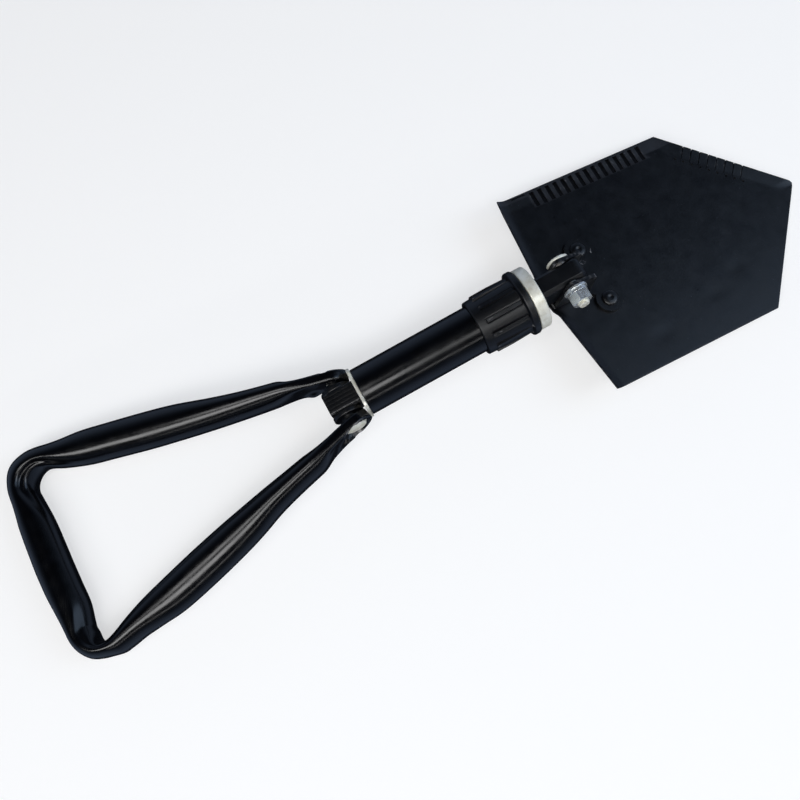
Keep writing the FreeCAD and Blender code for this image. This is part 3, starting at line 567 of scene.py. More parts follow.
def lock_collar():
    """A tapered sleeve with flat-topped ribs between a plain land and a flange."""
    rib_start = COLLAR_REAR + 5.5
    rib_end = COLLAR_FRONT - 5.5
    # Angles run from the top (+Z) towards -Y; turned() measures them from +Y towards +Z.
    angles = []
    for i in range(RIB_COUNT):
        middle = RIB_FIRST + 2 * math.pi * i / RIB_COUNT
        valley = 2 * math.pi / RIB_COUNT - 2 * RIB_HALF
        flanks = [-RIB_HALF, -RIB_HALF + RIB_FLANK, 0, RIB_HALF - RIB_FLANK, RIB_HALF]
        rest = [RIB_HALF + MOAT_TURN, *(RIB_HALF + valley * j / 6 for j in range(1, 6)),
                RIB_HALF + valley - MOAT_TURN]
        angles += [math.pi / 2 + middle + turn for turn in (*flanks, *rest)]

    bore = TUBE_RADIUS + 0.3
    mouth = 18.0
    flange = 22.2
    step = 246              # from here to the front the mouth holds the threaded insert
    outside = 18.4          # every smaller radius is inside the collar
    rib_ease = 0.7

    def reach(along, radius, angle):
        if radius < outside or not rib_start <= along <= rib_end:
            return radius
        turn = (angle - math.pi / 2 - RIB_FIRST + math.pi / RIB_COUNT) % (2 * math.pi / RIB_COUNT)
        off = abs(turn - math.pi / RIB_COUNT)
        started = clamp((along - rib_start) / rib_ease)
        if off > RIB_HALF - 1e-6:
            return radius - MOAT_DEPTH * started * clamp(1 - (off - RIB_HALF) / MOAT_TURN)
        rise = clamp((RIB_HALF - off) / RIB_FLANK) * started
        return mix(radius - MOAT_DEPTH * started, RIB_TOP + 0.012 * (along - rib_end), rise)

    profile = rounded([
        (COLLAR_FRONT, mouth), (COLLAR_FRONT, flange), (COLLAR_FRONT - 4.2, flange),
        (COLLAR_FRONT - 5.2, 19.6), (rib_start, 18.75), (COLLAR_REAR, 18.5),
        (COLLAR_REAR, bore), (step, bore), (step, mouth),
    ], [0.5, 1.0, 1.0, 0.5, None, 0.9, 0.4, None, None], 4)
    extra = [Vector((rib_start + rib_ease, 18.78)), Vector((mix(rib_start, rib_end, 0.5), 19.2)),
             Vector((rib_end, 19.55))]
    place = next(i for i, p in enumerate(profile) if abs(p.x - rib_start) < 1e-6)
    profile[place:place] = sorted(extra, key=lambda p: -p.x)
    collar = mesh_of(turned(profile, angles, reach), "lock_collar_skin", TOOL)
    finished(collar, "collar", COLLAR_BLACK, ["lock_collar"], crease=28)


def collar_ring():
    """A thrust ring with a spigot that the collar's mouth holds."""
    bore, spigot, outside = 14.5, 17.8, 21.2
    rear, shoulder, front = 259.0, 264.0, 271.8
    profile = rounded([(rear, bore), (rear, spigot), (shoulder, spigot), (shoulder, outside),
                       (front, outside), (front, bore)], [0.3, 0.3, 0.2, 0.9, 1.1, 0.8], 5)
    ring = mesh_of(turned(profile, 128), "collar_ring_skin", TOOL)
    finished(ring, "ring", ZINC, ["collar_ring"])


# ---- handle

LEG_SLANT = math.radians(13.8)
TUBE_HALF_WIDTH = 12.7
TUBE_HALF_HEIGHT = 12.5
EAR_INSIDE = 13.4
EAR_RADIUS = 11.0
EAR_THICK = 7.2
EAR_WEB = 3.5
EAR_FADED = 36.0
GRIP_BACK = -80.1
GRIP_HALF = 69.9
BEND_RADIUS = 18.0
RIVET_SEAT = 16.4
SEAT_RADIUS = 8.8
SECTION_POINTS = 64

LEG_DIRECTION = Vector((-math.cos(LEG_SLANT), math.sin(LEG_SLANT)))
LEG_OUTWARD = Vector((math.sin(LEG_SLANT), math.cos(LEG_SLANT)))
LEG_REACH = NECK_PIVOT[0] - GRIP_BACK
LEG_LENGTH = LEG_REACH / math.cos(LEG_SLANT)
# How far the round tube's middle line lies outside the ear's inner face.
TUBE_OUT = (GRIP_HALF - EAR_INSIDE) * math.cos(LEG_SLANT) - LEG_REACH * math.sin(LEG_SLANT)
BEND_TURN = math.pi / 2 + LEG_SLANT
BEND_TANGENT = BEND_RADIUS * math.tan(BEND_TURN / 2)
BEND_LENGTH = BEND_RADIUS * BEND_TURN
BEND_START = LEG_LENGTH - BEND_TANGENT

# How far the bent and squeezed tube reaches outwards and inwards from its middle line, as (place,
# outwards, inwards). Places are measured from the middle of the corner, positive along the leg. The
# two corners, one at +Y (1) and one at -Y (-1), were squeezed unevenly.
TUBE_REACH = {
    1: ((-60, 10.5, 12.2), (-36, 9.9, 11.8), (-24, 8.6, 10.4), (-15, 8.0, 9.2),
        (-8, 9.7, 8.4), (0, 12.5, 7.2), (8, 11.2, 6.0), (15, 9.9, 5.9), (26, 10.4, 8.6),
        (42, 12.4, 11.1), (60, 12.7, 11.7), (85, 12.7, 12.3), (106, 12.0, 12.1),
        (130, 9.4, 11.4), (150, 7.8, 10.3), (175, 7.2, 8.7), (200, 7.0, 7.5)),
    -1: ((-60, 10.5, 12.2), (-44, 9.7, 12.6), (-30, 7.9, 13.0), (-16, 6.4, 10.5),
         (-6, 6.9, 9.2), (0, 7.2, 5.2), (4, 6.6, 3.2), (9, 6.4, 4.2), (16, 8.1, 5.7),
         (28, 9.0, 8.3), (40, 10.9, 9.8), (56, 13.4, 10.6), (82, 13.8, 11.3), (106, 13.0, 11.2),
         (122, 11.6, 10.7), (140, 9.1, 10.0), (160, 8.2, 8.8), (200, 8.2, 7.3)),
}
# Where the ear begins to blend into the tube, and how deep the creases at the corner are.
EAR_FLARE = {1: 12.0, -1: 6.0}
CREASE_DEPTH = {1: 3.0, -1: 1.4}


def ear_section(along):
    """The pressed end's section (out from its inner face, high): a pan that opens outwards, with a rim
    that also closes round the end. `along` is measured from the rivet towards the grip."""
    half = math.sqrt(max(EAR_RADIUS ** 2 - min(along, 0) ** 2, 0.16))
    pan = math.sqrt(max(7.9 ** 2 - min(along + 0.3, 0) ** 2, 0.01))
    pan = min(pan, half - 1.4, 7.6) if half > 2 else half * 0.4
    floor = mix(EAR_WEB, EAR_THICK - 0.3, smooth((-6.4 - along) / 1.8))
    round_off = min(1.6, half * 0.45)
    corners = [(floor, 0), (floor, pan * 0.72), (EAR_THICK, pan + 0.35), (EAR_THICK, half),
               (0, half), (0, 0)]
    path = rounded(corners, [None, 1.2, 0.7, round_off, round_off, None], 5, closed=False)
    upper = resampled(path, SECTION_POINTS // 2 + 1)
    return upper + [Vector((p.x, -p.y)) for p in upper[-2:0:-1]]


def tube_section(away, side):
    """The squeezed tube's section (out, high), from its outer side over its top. Near a corner a crease
    runs on each side of the lobe that is pushed in on the inside of the bend."""
    outer, inner = through(TUBE_REACH[side], away)
    depth = CREASE_DEPTH[side] * bell(away - 2, 22)
    place = mix(74, 20, smooth(abs(away) / 48))
    section = []
    for angle in even_angles(SECTION_POINTS):
        wide = outer if math.cos(angle) > 0 else inner
        point = Vector((wide * math.cos(angle), TUBE_HALF_HEIGHT * math.sin(angle)))
        from_inside = abs(math.degrees(angle) - 180)
        crease = depth * bell(from_inside - place, 15)
        section.append(point * (1 - crease / TUBE_HALF_WIDTH))
    return section


def leg_section(along, side):
    """Between the ear and the round tube, the section passes from one to the other. The inner side
    stays full until close to the ear and is dished, so that it passes the shaft when it is folded.
    Low down, the squeezed metal stands out as a lobe just behind the neck block."""
    ear = ear_section(min(along, EAR_FLARE[side]))
    away = BEND_START + BEND_LENGTH / 2 - along
    tube = [Vector((TUBE_OUT + p.x, p.y)) for p in tube_section(away, side)]
    outer_share = smooth((EAR_FADED - along) / (EAR_FADED - EAR_FLARE[side]))
    inner_share = mix(0.75 * smooth((40 - along) / 30), 1.0, smooth((20 - along) / 9))
    dish = 1.6 * bell(along - 20, 14)
    section = []
    for i, (pressed, full) in enumerate(zip(ear, tube)):
        inward = (1 - math.cos(2 * math.pi * i / SECTION_POINTS)) / 2
        share = mix(outer_share, inner_share, smooth(inward * 1.4 - 0.2))
        point = full.lerp(pressed, share)
        hollow = max(0.0, 1 - (point.y / 9.0) ** 2) * smooth(inward * 2 - 1)
        lobe = 1.7 * bell(along - 14.5, 4.0) * smooth((-4 - point.y) / 4) * smooth(inward * 1.6 - 0.4)
        point.x += dish * hollow - lobe
        section.append(point)
    return section


def handle_stations(side):
    """Sections from the end of the ear to the middle of the grip, in the tool frame."""
    leg_start = Vector((NECK_PIVOT[0], EAR_INSIDE))
    stations = []

    def add(origin, outward, section):
        ring = []
        for out, high in section:
            across = origin + outward * out
            ring.append(Vector((across.x, across.y * side, high)))
        stations.append(ring)

    # The round end of the ear, then the flat part and the squeeze.
    count = 14
    ends = [-EAR_RADIUS * math.cos(math.pi / 2 * (i + 0.35) / count) for i in range(count)]
    steps = ends + [0.0] + [1.5 * i for i in range(1, 45)]
    for along in steps:
        add(leg_start + LEG_DIRECTION * along, LEG_OUTWARD, leg_section(along, side))
    # The round leg, up to the corner.
    last = steps[-1]
    count = 60
    for i in range(1, count + 1):
        along = mix(last, BEND_START, i / count)
        away = BEND_START - along + BEND_LENGTH / 2
        section = [Vector((TUBE_OUT + p.x, p.y)) for p in tube_section(away, side)]
        add(leg_start + LEG_DIRECTION * along, LEG_OUTWARD, section)
    # The corner, then half of the grip.
    centre = Vector((GRIP_BACK + BEND_RADIUS, GRIP_HALF - BEND_TANGENT))
    count = 30
    for i in range(1, count + 1):
        angle = math.pi / 2 - LEG_SLANT + BEND_TURN * i / count
        outward = Vector((math.cos(angle), math.sin(angle)))
        away = BEND_LENGTH / 2 - BEND_LENGTH * i / count
        add(centre + outward * BEND_RADIUS, outward, tube_section(away, side))
    start = GRIP_HALF - BEND_TANGENT
    for i in range(1, count + 1):
        across = start * (1 - i / count)
        away = -(BEND_LENGTH / 2 + start - across)
        add(Vector((GRIP_BACK, across)), Vector((-1, 0)), tube_section(away, side))
    return stations


def press_seat(sections, side):
    """Presses the flat seat of a rivet washer into an ear, with a sloping wall round it."""
    wall = 2.0
    steepness = 2.5
    for ring in sections:
        for i, point in enumerate(ring):
            outer = math.cos(2 * math.pi * i / SECTION_POINTS) > -0.2
            off = math.hypot(point.x - NECK_PIVOT[0], point.z)
            if outer and off < SEAT_RADIUS + wall:
                deepest = RIVET_SEAT + steepness * max(off - SEAT_RADIUS, 0)
                point.y = side * min(abs(point.y), deepest)


def handle_frame():
    """Both halves of the bent tube, joined at the middle of the grip."""
    halves = []
    for side in (1, -1):
        half = handle_stations(side)
        press_seat(half, side)
        halves.append(half)
    tube = mesh_of(skin(halves[0] + halves[1][-2::-1]), "handle_frame_skin", TOOL)
    finished(tube, "handle", TUBE_BLACK, ["handle_frame"], crease=60)


def dome(rear, rise, radius):
    """Profile of a low domed head, from its rim to its centre, towards +X."""
    steps = 10
    return [Vector((rear + 0.35 * rise + 0.65 * rise * math.sin(math.pi / 2 * i / steps),
                    radius * math.cos(math.pi / 2 * i / steps))) for i in range(steps + 1)]


def neck_fittings():
    """The handle's rivet, the washers under its heads, and the bushes beside the block."""
    seat = RIVET_SEAT + 1.0
    head = [Vector((seat, 7.5)), *dome(seat, 2.6, 7.8)]
    shank = 4.0
    profile = [Vector((-p.x, p.y)) for p in reversed(head)]
    profile += [Vector((-seat, shank)), Vector((seat, shank)), *head]
    rivet = mesh_of(turned(profile, 64, wrap=False), "handle_rivet_skin", NECK_PIN)
    finished(rivet, "handle", ZINC, ["handle_rivet"])
    # Each bush is a disc from `inner` to `outer`, with a sleeve that reaches into the ear.
    inner, outer, end = 7.05, 10.45, 13.7
    disc, sleeve = 10.2, 5.5
    for side, name in ((1, "right"), (-1, "left")):
        facing = Matrix.Scale(side, 4, (1, 0, 0))
        washer = rounded([(RIVET_SEAT, shank), (RIVET_SEAT, 8.5), (seat, 8.5), (seat, shank)], 0.3, 2)
        piece = mesh_of(turned(washer, 64), f"rivet_washer_{name}", NECK_PIN @ facing)
        outward(piece)
        finished(piece, "handle", ZINC, ["rivet_washers"])
        bush = rounded([(inner, shank), (end, shank), (end, sleeve), (outer, sleeve), (outer, disc),
                        (inner, disc)], [None, None, 0.3, 0.2, 0.8, 0.8], 3)
        piece = mesh_of(turned(bush, 64), f"neck_bush_{name}", NECK_PIN @ facing)
        outward(piece)
        finished(piece, "handle", FORGED_BLACK, ["neck_bushes"])


# ---- blade

BLADE_HALF = 76.2
SHOULDER = 133.0
BLADE_LENGTH = 204.6
BACK_PEAK = 8.0
SHEET = 2.0
LIP_HIGH = 3.5
TIP_SLOPE = math.atan2(BLADE_HALF, BLADE_LENGTH - SHOULDER)
BACK_SLOPE = math.atan2(BACK_PEAK, BLADE_HALF)
STRIP_WIDTH = 10.0
EDGE_RISE = 0.95
SERRATION_COUNT = 15
SERRATION_FIRST = 27.0
SERRATION_LAST = 116.2
SERRATION_RIM = 1.8
SERRATION_REACH = 13.8
# Shallow dents in the blade: place along and across, size along and across, depth.
DENTS = ((138, 33, 9, 5, 0.22), (124, -38, 8, 5, 0.16), (99, -48, 9, 4, 0.14), (51, -57, 8, 5, 0.18),
         (80, 22, 16, 9, 0.10), (150, -8, 12, 10, 0.10))


def back_edge(across):
    """Where the back edge is at a distance from the middle, blunted at its peak."""
    return -BACK_PEAK * (1 - math.hypot(across, 1.5) / BLADE_HALF)


def tip_edge(across):
    """Where the tip's edge is at a distance from the middle, blunted at the tip."""
    blunt = 0.8
    share = math.hypot(across, blunt) / math.hypot(BLADE_HALF, blunt)
    return SHOULDER + (BLADE_LENGTH - SHOULDER) * (1 - share)


def edge_drop(distance, radius):
    """How far a rounded edge falls at a distance inside it."""
    if distance >= radius:
        return 0.0
    return radius - math.sqrt(max(radius ** 2 - (radius - distance) ** 2, 0))


def blade_heights(along, across):
    """Front and back face of the sheet at a point. Both curl up along the back edge and rise a little
    towards the +Y edges, and the whole sheet is slightly wavy and dented."""
    from_back = (along - back_edge(across)) * math.cos(BACK_SLOPE)
    from_tip = (tip_edge(across) - along) * math.sin(TIP_SLOPE)
    from_side = BLADE_HALF - abs(across)
    curl = LIP_HIGH * clamp(1 - from_back / 8.5) ** 2 * smooth((abs(across) - 10) / 7)
    fade = smooth(min(from_side, from_tip) / 20)
    wave = 0.08 * math.sin(along / 37 + 0.6) * math.cos(across / 29 - 0.4) * fade
    raised = 0.0
    if across > 0:
        raised = EDGE_RISE * max(clamp(1 - from_side / STRIP_WIDTH), clamp(1 - from_tip / STRIP_WIDTH))
    dents = sum(depth * bell(math.hypot((along - a) / length, (across - b) / width), 1.0)
                for a, b, length, width, depth in DENTS)
    level = curl + wave + raised - dents
    nearest = min(from_back, from_tip, from_side)
    front = level - edge_drop(nearest, 0.45)
    back = level - SHEET + edge_drop(nearest, 0.55)
    return front, back


def blade_sheet():
    """A grid whose edges are the blade's outline, folded round to the back face."""
    near_edge = [0, 0.08, 0.25, 0.5, 1.2, 2.5, 4, 5.5, 7, 8.5, STRIP_WIDTH, STRIP_WIDTH + 1.5]
    columns = [BLADE_HALF - d for d in near_edge]
    inner = columns[-1]
    columns += [inner * (1 - i / 30) for i in range(1, 30)]
    columns = [-c for c in columns] + [0.0] + columns[::-1]
    bm = bmesh.new()
    faces = ([], [])
    for across in columns:
        low = back_edge(across)
        high = tip_edge(across)
        rows = [low + d / math.cos(BACK_SLOPE) for d in near_edge]
        ends = [high - d / math.sin(TIP_SLOPE) for d in near_edge]
        rows += [mix(rows[-1], ends[-1], i / 44) for i in range(1, 44)] + ends[::-1]
        lines = ([], [])
        for along in rows:
            for line, height in zip(lines, blade_heights(along, across)):
                line.append(bm.verts.new((along, across, height)))
        faces[0].append(lines[0])
        faces[1].append(lines[1])
    for grid in faces:
        for a, b in zip(grid, grid[1:]):
            for i in range(len(a) - 1):
                bm.faces.new((a[i], a[i + 1], b[i + 1], b[i]))
    front, back = faces
    rim = [
        ([line[0] for line in front], [line[0] for line in back]),
        ([line[-1] for line in front], [line[-1] for line in back]),
        (front[0], back[0]),
        (front[-1], back[-1]),
    ]
    for top, bottom in rim:
        for i in range(len(top) - 1):
            bm.faces.new((top[i], top[i + 1], bottom[i + 1], bottom[i]))
    bmesh.ops.recalc_face_normals(bm, faces=bm.faces)
    return mesh_of(bm, "blade_skin", BLADE)


def trough(bm, place, length, wide, narrow, near_floor, far_floor):
    """Adds a cutter to a bmesh: a trough along the place's X that narrows downwards, with a sloping
    floor."""
    above = 1.5
    corners = []
    for near, far, half, shorter in ((above, above, wide, 0.0), (near_floor, far_floor, narrow, 0.6)):
        for along, across, level in ((shorter, -half, near), (length - shorter, -half, far),
                                     (length - shorter, half, far), (shorter, half, near)):
            corners.append(bm.verts.new(place @ Vector((along, across, level))))
    low, high = corners[4:], corners[:4]
    bm.faces.new(high)
    bm.faces.new(low[::-1])
    for i in range(4):
        following = (i + 1) % 4
        bm.faces.new((low[i], low[following], high[following], high[i]))


def edge_frame(along, across, angle):
    """A place on the blade, turned about Z."""
    return Matrix.Translation((along, across, 0)) @ Matrix.Rotation(angle, 4, "Z")


def cut_serrations(bm):
    """Serrations along the +Y side, each a trough across the edge that stops short of it, and one
    fine line along the edge behind them."""
    edge = BLADE_HALF - SERRATION_RIM
    for i in range(SERRATION_COUNT):
        along = mix(SERRATION_FIRST, SERRATION_LAST, i / (SERRATION_COUNT - 1))
        length = SERRATION_REACH - SERRATION_RIM
        trough(bm, edge_frame(along, edge, -math.pi / 2), length, 1.75, 1.45, -0.75, -0.60)
    trough(bm, edge_frame(11.0, edge, 0), 11.5, 0.6, 0.25, -0.3, -0.3)


def score_tip(bm):
    """Scored lines along the +Y tip edge, with punched dots between their inner ends."""
    line_count = 8
    pitch = 6.33
    start = 22.3
    corner = Vector((SHOULDER, BLADE_HALF, 0))
    run = Vector((math.cos(TIP_SLOPE), -math.sin(TIP_SLOPE), 0))
    inward = Vector((-math.sin(TIP_SLOPE), -math.cos(TIP_SLOPE), 0))
    heading = math.atan2(inward.y, inward.x) + math.radians(5)
    for i in range(line_count):
        foot = corner + run * (start + pitch * i) - inward * 2
        trough(bm, edge_frame(foot.x, foot.y, heading), 13.8, 0.46, 0.15, -0.6, -0.6)
    for i in range(line_count + 1):
        dot = corner + run * (start + pitch * (i - 0.5)) + inward * 12.6
        rings = []
        for radius, level in ((0.5, -0.9), (1.3, 0.6)):
            rings.append([(dot.x + radius * math.cos(a), dot.y + radius * math.sin(a), level)
                          for a in even_angles(12)])
        cone = skin(rings)
        cone_mesh = bpy.data.meshes.new("cone")
        cone.to_mesh(cone_mesh)
        cone.free()
        bm.from_mesh(cone_mesh)
        bpy.data.meshes.remove(cone_mesh)


def shade_edges(sheet):
    """A painted highlight of lighter grey on the strip along the +Y side and the ridges between the serrations,
    and painted shade down in the serrations, where the coat is duller and less shiny.
    """
    # Slot 1 paints a highlight on the +Y strip; slot 2 paints shade into the serrations.
    strip, grooves = 1, 2
    sheet.data.materials.append(STRIP_SHEEN_BLACK)
    sheet.data.materials.append(GROOVE_SHADE_BLACK)
    strip_start = 24
    serrated_end = 119.5
    to_blade = BLADE.inverted()
    for face in sheet.data.polygons:
        along, across, level = to_blade @ face.center
        from_side = BLADE_HALF - across
        depth = blade_heights(along, across)[0] - level
        serrated = strip_start < along < serrated_end
        if serrated:
            wide = 13.7
        elif along > strip_start:
            wide = STRIP_WIDTH
        else:
            wide = 4.1
        if from_side < wide and abs(depth) < 0.12:
            face.material_index = strip
        # Faces down in the serrations get the painted shade.
        elif serrated and 1.6 < from_side < 14.2 and 0.12 < depth < 1.7:
            face.material_index = grooves


def blade():
    """The sheet, with its serrations and scored lines cut in, its coat of paint, a painted highlight on the +Y
    strip and painted shade in the serrations.
    """
    sheet = blade_sheet()
    bm = bmesh.new()
    cut_serrations(bm)
    score_tip(bm)
    bmesh.ops.recalc_face_normals(bm, faces=bm.faces)
    joined(sheet, mesh_of(bm, "cutters", BLADE), "DIFFERENCE")
    finished(sheet, "blade", BLADE_BLACK, ["blade"], crease=24)
    shade_edges(sheet)


BRACKET_SHEET = 2.5
CHEEK_INSIDE = 7.8
CHEEK_OUTSIDE = CHEEK_INSIDE + BRACKET_SHEET
LOBE_ALONG = 31.0
LOBE_ACROSS = 20.0
LOBE_RADIUS = 9.3
BRACKET_FRONT = 37.0
BRACKET_REAR = -5.6


def hinge_bracket():
    """A channel cut to the cheeks' outline, on a foot that spreads into two lobes."""
    blank_high = 34
    channel = rounded([
        (-CHEEK_OUTSIDE, 0), (CHEEK_OUTSIDE, 0), (CHEEK_OUTSIDE, blank_high),
        (CHEEK_INSIDE, blank_high), (CHEEK_INSIDE, BRACKET_SHEET), (-CHEEK_INSIDE, BRACKET_SHEET),
        (-CHEEK_INSIDE, blank_high), (-CHEEK_OUTSIDE, blank_high),
    ], [2.2, 2.2, None, None, 1.0, 1.0, None, None], 6)
    bracket = mesh_of(prism(channel, "YZ", -12, 30, 0.01, 1), "hinge_bracket_skin", BLADE)
    cheek = rounded([(BRACKET_REAR, -1), (21.2, -1), (19.0, 26.1), (-2.6, 29.8), (-3.4, 18.7)],
                    [None, None, 2.2, 3.5, 8], 6)
    joined(bracket, mesh_of(prism(cheek, "XZ", -20, 20, 0.01, 1), "side", BLADE), "INTERSECT")
    lobe_middle = Vector((LOBE_ALONG, LOBE_ACROSS))
    lobe = [lobe_middle + LOBE_RADIUS * Vector((math.cos(a), math.sin(a)))
            for a in (math.radians(-48 + i * 9) for i in range(31))]
    waist = CHEEK_OUTSIDE - 0.6
    half = [Vector((BRACKET_FRONT, 0)), Vector((BRACKET_FRONT, LOBE_ACROSS - 7.1)), *lobe,
            Vector((21.5, CHEEK_OUTSIDE + 1.2)), Vector((17.5, waist)), Vector((BRACKET_REAR, waist))]
    foot = half + [Vector((p.x, -p.y)) for p in half[:0:-1]]
    joined(bracket, mesh_of(prism(foot, "XY", 0, BRACKET_SHEET, 0.01, 1), "foot", BLADE), "UNION")
    finished(bracket, "blade", FORGED_BLACK, ["hinge_bracket"], edge=0.45)


def bracket_rivets():
    """Domed heads with a dimple left by the tool that set them; their tails are flush in the blade."""
    head = 5.3
    shank = 3.0
    outline = [(-SHEET, 0), (-SHEET, 4.4), (-SHEET + 0.8, 4.5), (-SHEET + 0.8, shank),
               (BRACKET_SHEET, shank), (BRACKET_SHEET, head - 0.3)]
    profile = [Vector(point) for point in outline] + dome(BRACKET_SHEET, 2.3, head)[:8]
    for rise, radius in ((2.15, 1.7), (1.7, 1.1), (1.55, 0)):
        profile.append(Vector((BRACKET_SHEET + rise, radius)))
    for side, name in ((1, "right"), (-1, "left")):
        place = Matrix.Translation((LOBE_ALONG, side * LOBE_ACROSS, 0))
        upright = place @ Matrix.Rotation(-math.pi / 2, 4, "Y")
        rivet = mesh_of(turned(profile, 64, wrap=False), f"bracket_rivet_{name}", BLADE @ upright)
        finished(rivet, "blade", FORGED_BLACK, ["bracket_rivets"])


# ---- pivot bolt and nut

# Outer faces of the stack on the bolt, measured from the blade's middle towards -Y.
FLAT_WASHER = CHEEK_OUTSIDE + 1.6
SPRING_WASHER = FLAT_WASHER + 2.1
NUT_END = SPRING_WASHER + 6.5
BOLT_RADIUS = 4.0


def pivot_bolt():
    """A domed head, a plain shank, and a thread that shows past the nut."""
    tail = NUT_END + 2.4
    chamfer = 0.9
    thread_pitch = 1.25
    thread_length = 3.5
    steps = 30
    thread = [Vector((-tail + chamfer + thread_length * i / steps, BOLT_RADIUS))
              for i in range(steps + 1)]
    profile = [Vector((-tail, 0)), Vector((-tail, BOLT_RADIUS - chamfer)), *thread,
               Vector((CHEEK_OUTSIDE, BOLT_RADIUS)), Vector((CHEEK_OUTSIDE, 7.5)),
               *dome(CHEEK_OUTSIDE, 3.3, 7.8)]

    def reach(along, radius, angle):
        if radius != BOLT_RADIUS or along > -tail + 5:
            return radius
        phase = (along / thread_pitch + angle / (2 * math.pi)) % 1
        return radius - 0.55 * abs(2 * phase - 1)

    bolt = mesh_of(turned(profile, 64, reach, wrap=False), "pivot_bolt_skin", BLADE_PIN)
    finished(bolt, "blade", ZINC, ["pivot_bolt"], crease=50)


def washers():
    """A flat washer, and a spring washer that is a ring with a split."""
    flat = rounded([(-FLAT_WASHER, BOLT_RADIUS), (-FLAT_WASHER, 8.0), (-CHEEK_OUTSIDE, 8.0),
                    (-CHEEK_OUTSIDE, BOLT_RADIUS)], 0.3, 3)
    piece = mesh_of(turned(flat, 64), "bolt_washer_skin", BLADE_PIN)
    finished(piece, "blade", BRIGHT, ["bolt_washer"])
    play = 0.05
    bore = BOLT_RADIUS + play
    end, start = play - SPRING_WASHER, -FLAT_WASHER - play
    section = rounded([(end, bore), (end, 7.0), (start, 7.0), (start, bore)], 0.25, 3)
    rings = []
    gap = math.radians(8)
    steps = 60
    for i in range(steps + 1):
        angle = -math.pi / 2 + mix(gap, 2 * math.pi - gap, i / steps)
        rings.append([(p.x, p.y * math.cos(angle), p.y * math.sin(angle)) for p in section])
    piece = mesh_of(skin(rings), "lock_washer_skin", BLADE_PIN)
    finished(piece, "blade", BRIGHT, ["lock_washer"])


def pivot_nut():
    """A hexagon whose corners are turned off at both ends."""
    half_flats = 6.5
    corner = half_flats / math.cos(math.pi / 6)
    past_corner = corner + 0.1
    lean = 0.85
    outline = [Vector((corner * math.cos(a), corner * math.sin(a))) for a in even_angles(6)]
    hexagon = prism(rounded(outline, 0.3, 2), "YZ", -NUT_END, -SPRING_WASHER, 0.01, 1)
    nut = mesh_of(hexagon, "pivot_nut_skin", BLADE_PIN)
    profile = [(-NUT_END, 0), (-NUT_END, half_flats - 0.2), (lean - NUT_END, past_corner),
               (-SPRING_WASHER - lean / 2, past_corner), (-SPRING_WASHER, half_flats + 0.2),
               (-SPRING_WASHER, 0)]
    joined(nut, mesh_of(turned(profile, 96, wrap=False), "chamfer", BLADE_PIN), "INTERSECT")
    finished(nut, "blade", BRIGHT, ["pivot_nut"], crease=20)


# ---- the whole shovel

shaft_tube()
neck_plate()
neck_block()
shaft_head()
lock_collar()
collar_ring()
handle_frame()
neck_fittings()
blade()
hinge_bracket()
bracket_rivets()
pivot_bolt()
washers()
pivot_nut()

# These CAD nodes are hidden inside the others, and keep their own meshes.
for node in ("head_pin", "thread_sleeve", "collar_nut", "ring_clip", "pivot_sleeve"):
    kept = frame["nodes"][node]
    kept.data.materials.clear()
    kept.data.materials.append(STEEL)


# ---- stage, light and camera

def floor():
    """A pale round floor with a wall of the same colour far behind it. Both stay out of the
    reflections, where the dim surroundings show instead."""
    reach = 9.0
    count = 48
    rim = [(reach * math.cos(a), reach * math.sin(a)) for a in even_angles(count)]
    ground_mesh = bpy.data.meshes.new("floor")
    ground_mesh.from_pydata([(x, y, 0) for x, y in rim], [], [list(range(count))])
    wall_mesh = bpy.data.meshes.new("wall")
    wall_corners = [(x, y, level) for level in (0, reach) for x, y in rim]
    wall_faces = [(i, (i + 1) % count, count + (i + 1) % count, count + i) for i in range(count)]
    wall_mesh.from_pydata(wall_corners, [], wall_faces)
    pale = Nodes("pale_floor", Base_Color=(0.46, 0.46, 0.46, 1), Roughness=1.0, Specular_IOR_Level=0.0,
                 Emission_Color=(1.0, 1.0, 1.0, 1), Emission_Strength=0.60).material
    for mesh in (ground_mesh, wall_mesh):
        mesh.materials.append(pale)
        backdrop = bpy.data.objects.new(mesh.name, mesh)
        backdrop.visible_glossy = False
        backdrop.visible_diffuse = mesh is ground_mesh
        bpy.context.scene.collection.objects.link(backdrop)


def softbox(name, place, width, height, radiance, along=(1, 0, 0), tint=(1, 1, 1)):
    """An area light at a place, facing the object, with its width laid along a given direction."""
    data = bpy.data.lights.new(name, "AREA")
    data.shape = "RECTANGLE"
    data.size = width
    data.size_y = height
    data.energy = radiance * math.pi * width * height
    data.color = tint
    lamp = bpy.data.objects.new(name, data)
    back = Vector(place).normalized()
    side = Vector(along)
    side = (side - back * side.dot(back)).normalized()
    turn = Matrix((side, back.cross(side), back)).transposed()
    lamp.matrix_world = Matrix.Translation(place) @ turn.to_4x4()
    bpy.context.scene.collection.objects.link(lamp)


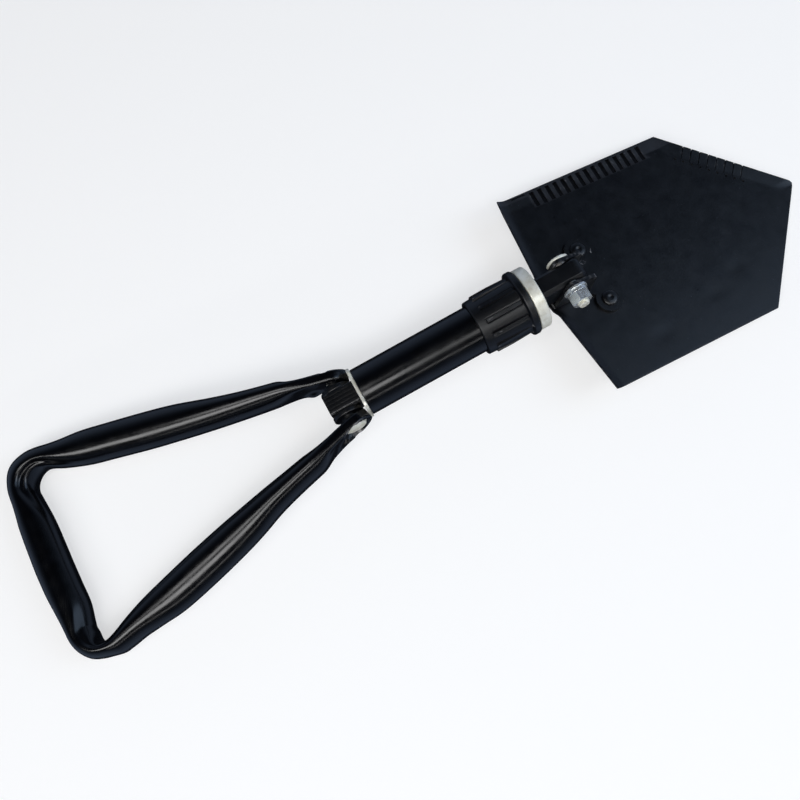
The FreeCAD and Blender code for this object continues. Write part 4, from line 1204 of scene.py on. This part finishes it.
def surroundings():
    """Dim and bluish round the horizon, dark overhead and below. The dim part reaches higher on the
    +Y side."""
    sky = bpy.data.worlds.new("studio")
    sky.use_nodes = True
    tree = sky.node_tree
    direction = tree.nodes.new("ShaderNodeTexCoord")
    level = tree.nodes.new("ShaderNodeVectorMath")
    level.operation = "DOT_PRODUCT"
    level.inputs[1].default_value = (0, -0.34, 0.94)
    tree.links.new(direction.outputs["Generated"], level.inputs[0])
    height = tree.nodes.new("ShaderNodeMapRange")
    height.inputs["From Min"].default_value = -1.0
    tree.links.new(level.outputs["Value"], height.inputs["Value"])
    ramp = tree.nodes.new("ShaderNodeValToRGB")
    bands = ((0.14, (0.012, 0.014, 0.02)), (0.26, (0.21, 0.27, 0.39)), (0.50, (0.21, 0.27, 0.39)),
             (0.675, (0.07, 0.09, 0.13)), (0.81, (0.010, 0.012, 0.018)))
    fill_ramp(ramp, bands)
    tree.links.new(height.outputs["Result"], ramp.inputs["Fac"])
    tree.links.new(ramp.outputs["Color"], tree.nodes["Background"].inputs["Color"])
    bpy.context.scene.world = sky


floor()
surroundings()
softbox("overhead", (-0.75, -0.76, 1.29), 1.5, 0.46, 6.2)
softbox("overhead_right", (0.85, -0.76, 1.29), 1.7, 0.46, 2.4)
softbox("leg_light", (-0.45, -0.16, 1.33), 0.50, 0.28, 4.5)
softbox("low_strip", (0.05, -1.45, 0.68), 2.6, 0.10, 3.0)
softbox("blade_panel", (1.10, -0.36, 1.10), 1.1, 1.3, 1.15, along=(0, 1, 0), tint=(0.68, 0.92, 1.28))
bpy.context.scene.view_settings.view_transform = "Standard"

# The camera looks down on the tool from the handle's side.
CAMERA_PLACE = Vector((-0.0927, -0.1671, 0.5468))
CAMERA_AIM = Vector((-0.0347, -0.0130, 0.0200))
CAMERA_ROLL = math.radians(-7.93)
camera_data = bpy.data.cameras.new("camera")
camera_data.lens = 38.14
camera = bpy.data.objects.new("camera", camera_data)
bpy.context.scene.collection.objects.link(camera)
look = (CAMERA_AIM - CAMERA_PLACE).to_track_quat("-Z", "Y").to_matrix().to_4x4()
camera.matrix_world = Matrix.Translation(CAMERA_PLACE) @ look @ Matrix.Rotation(CAMERA_ROLL, 4, "Z")
bpy.context.scene.camera = camera
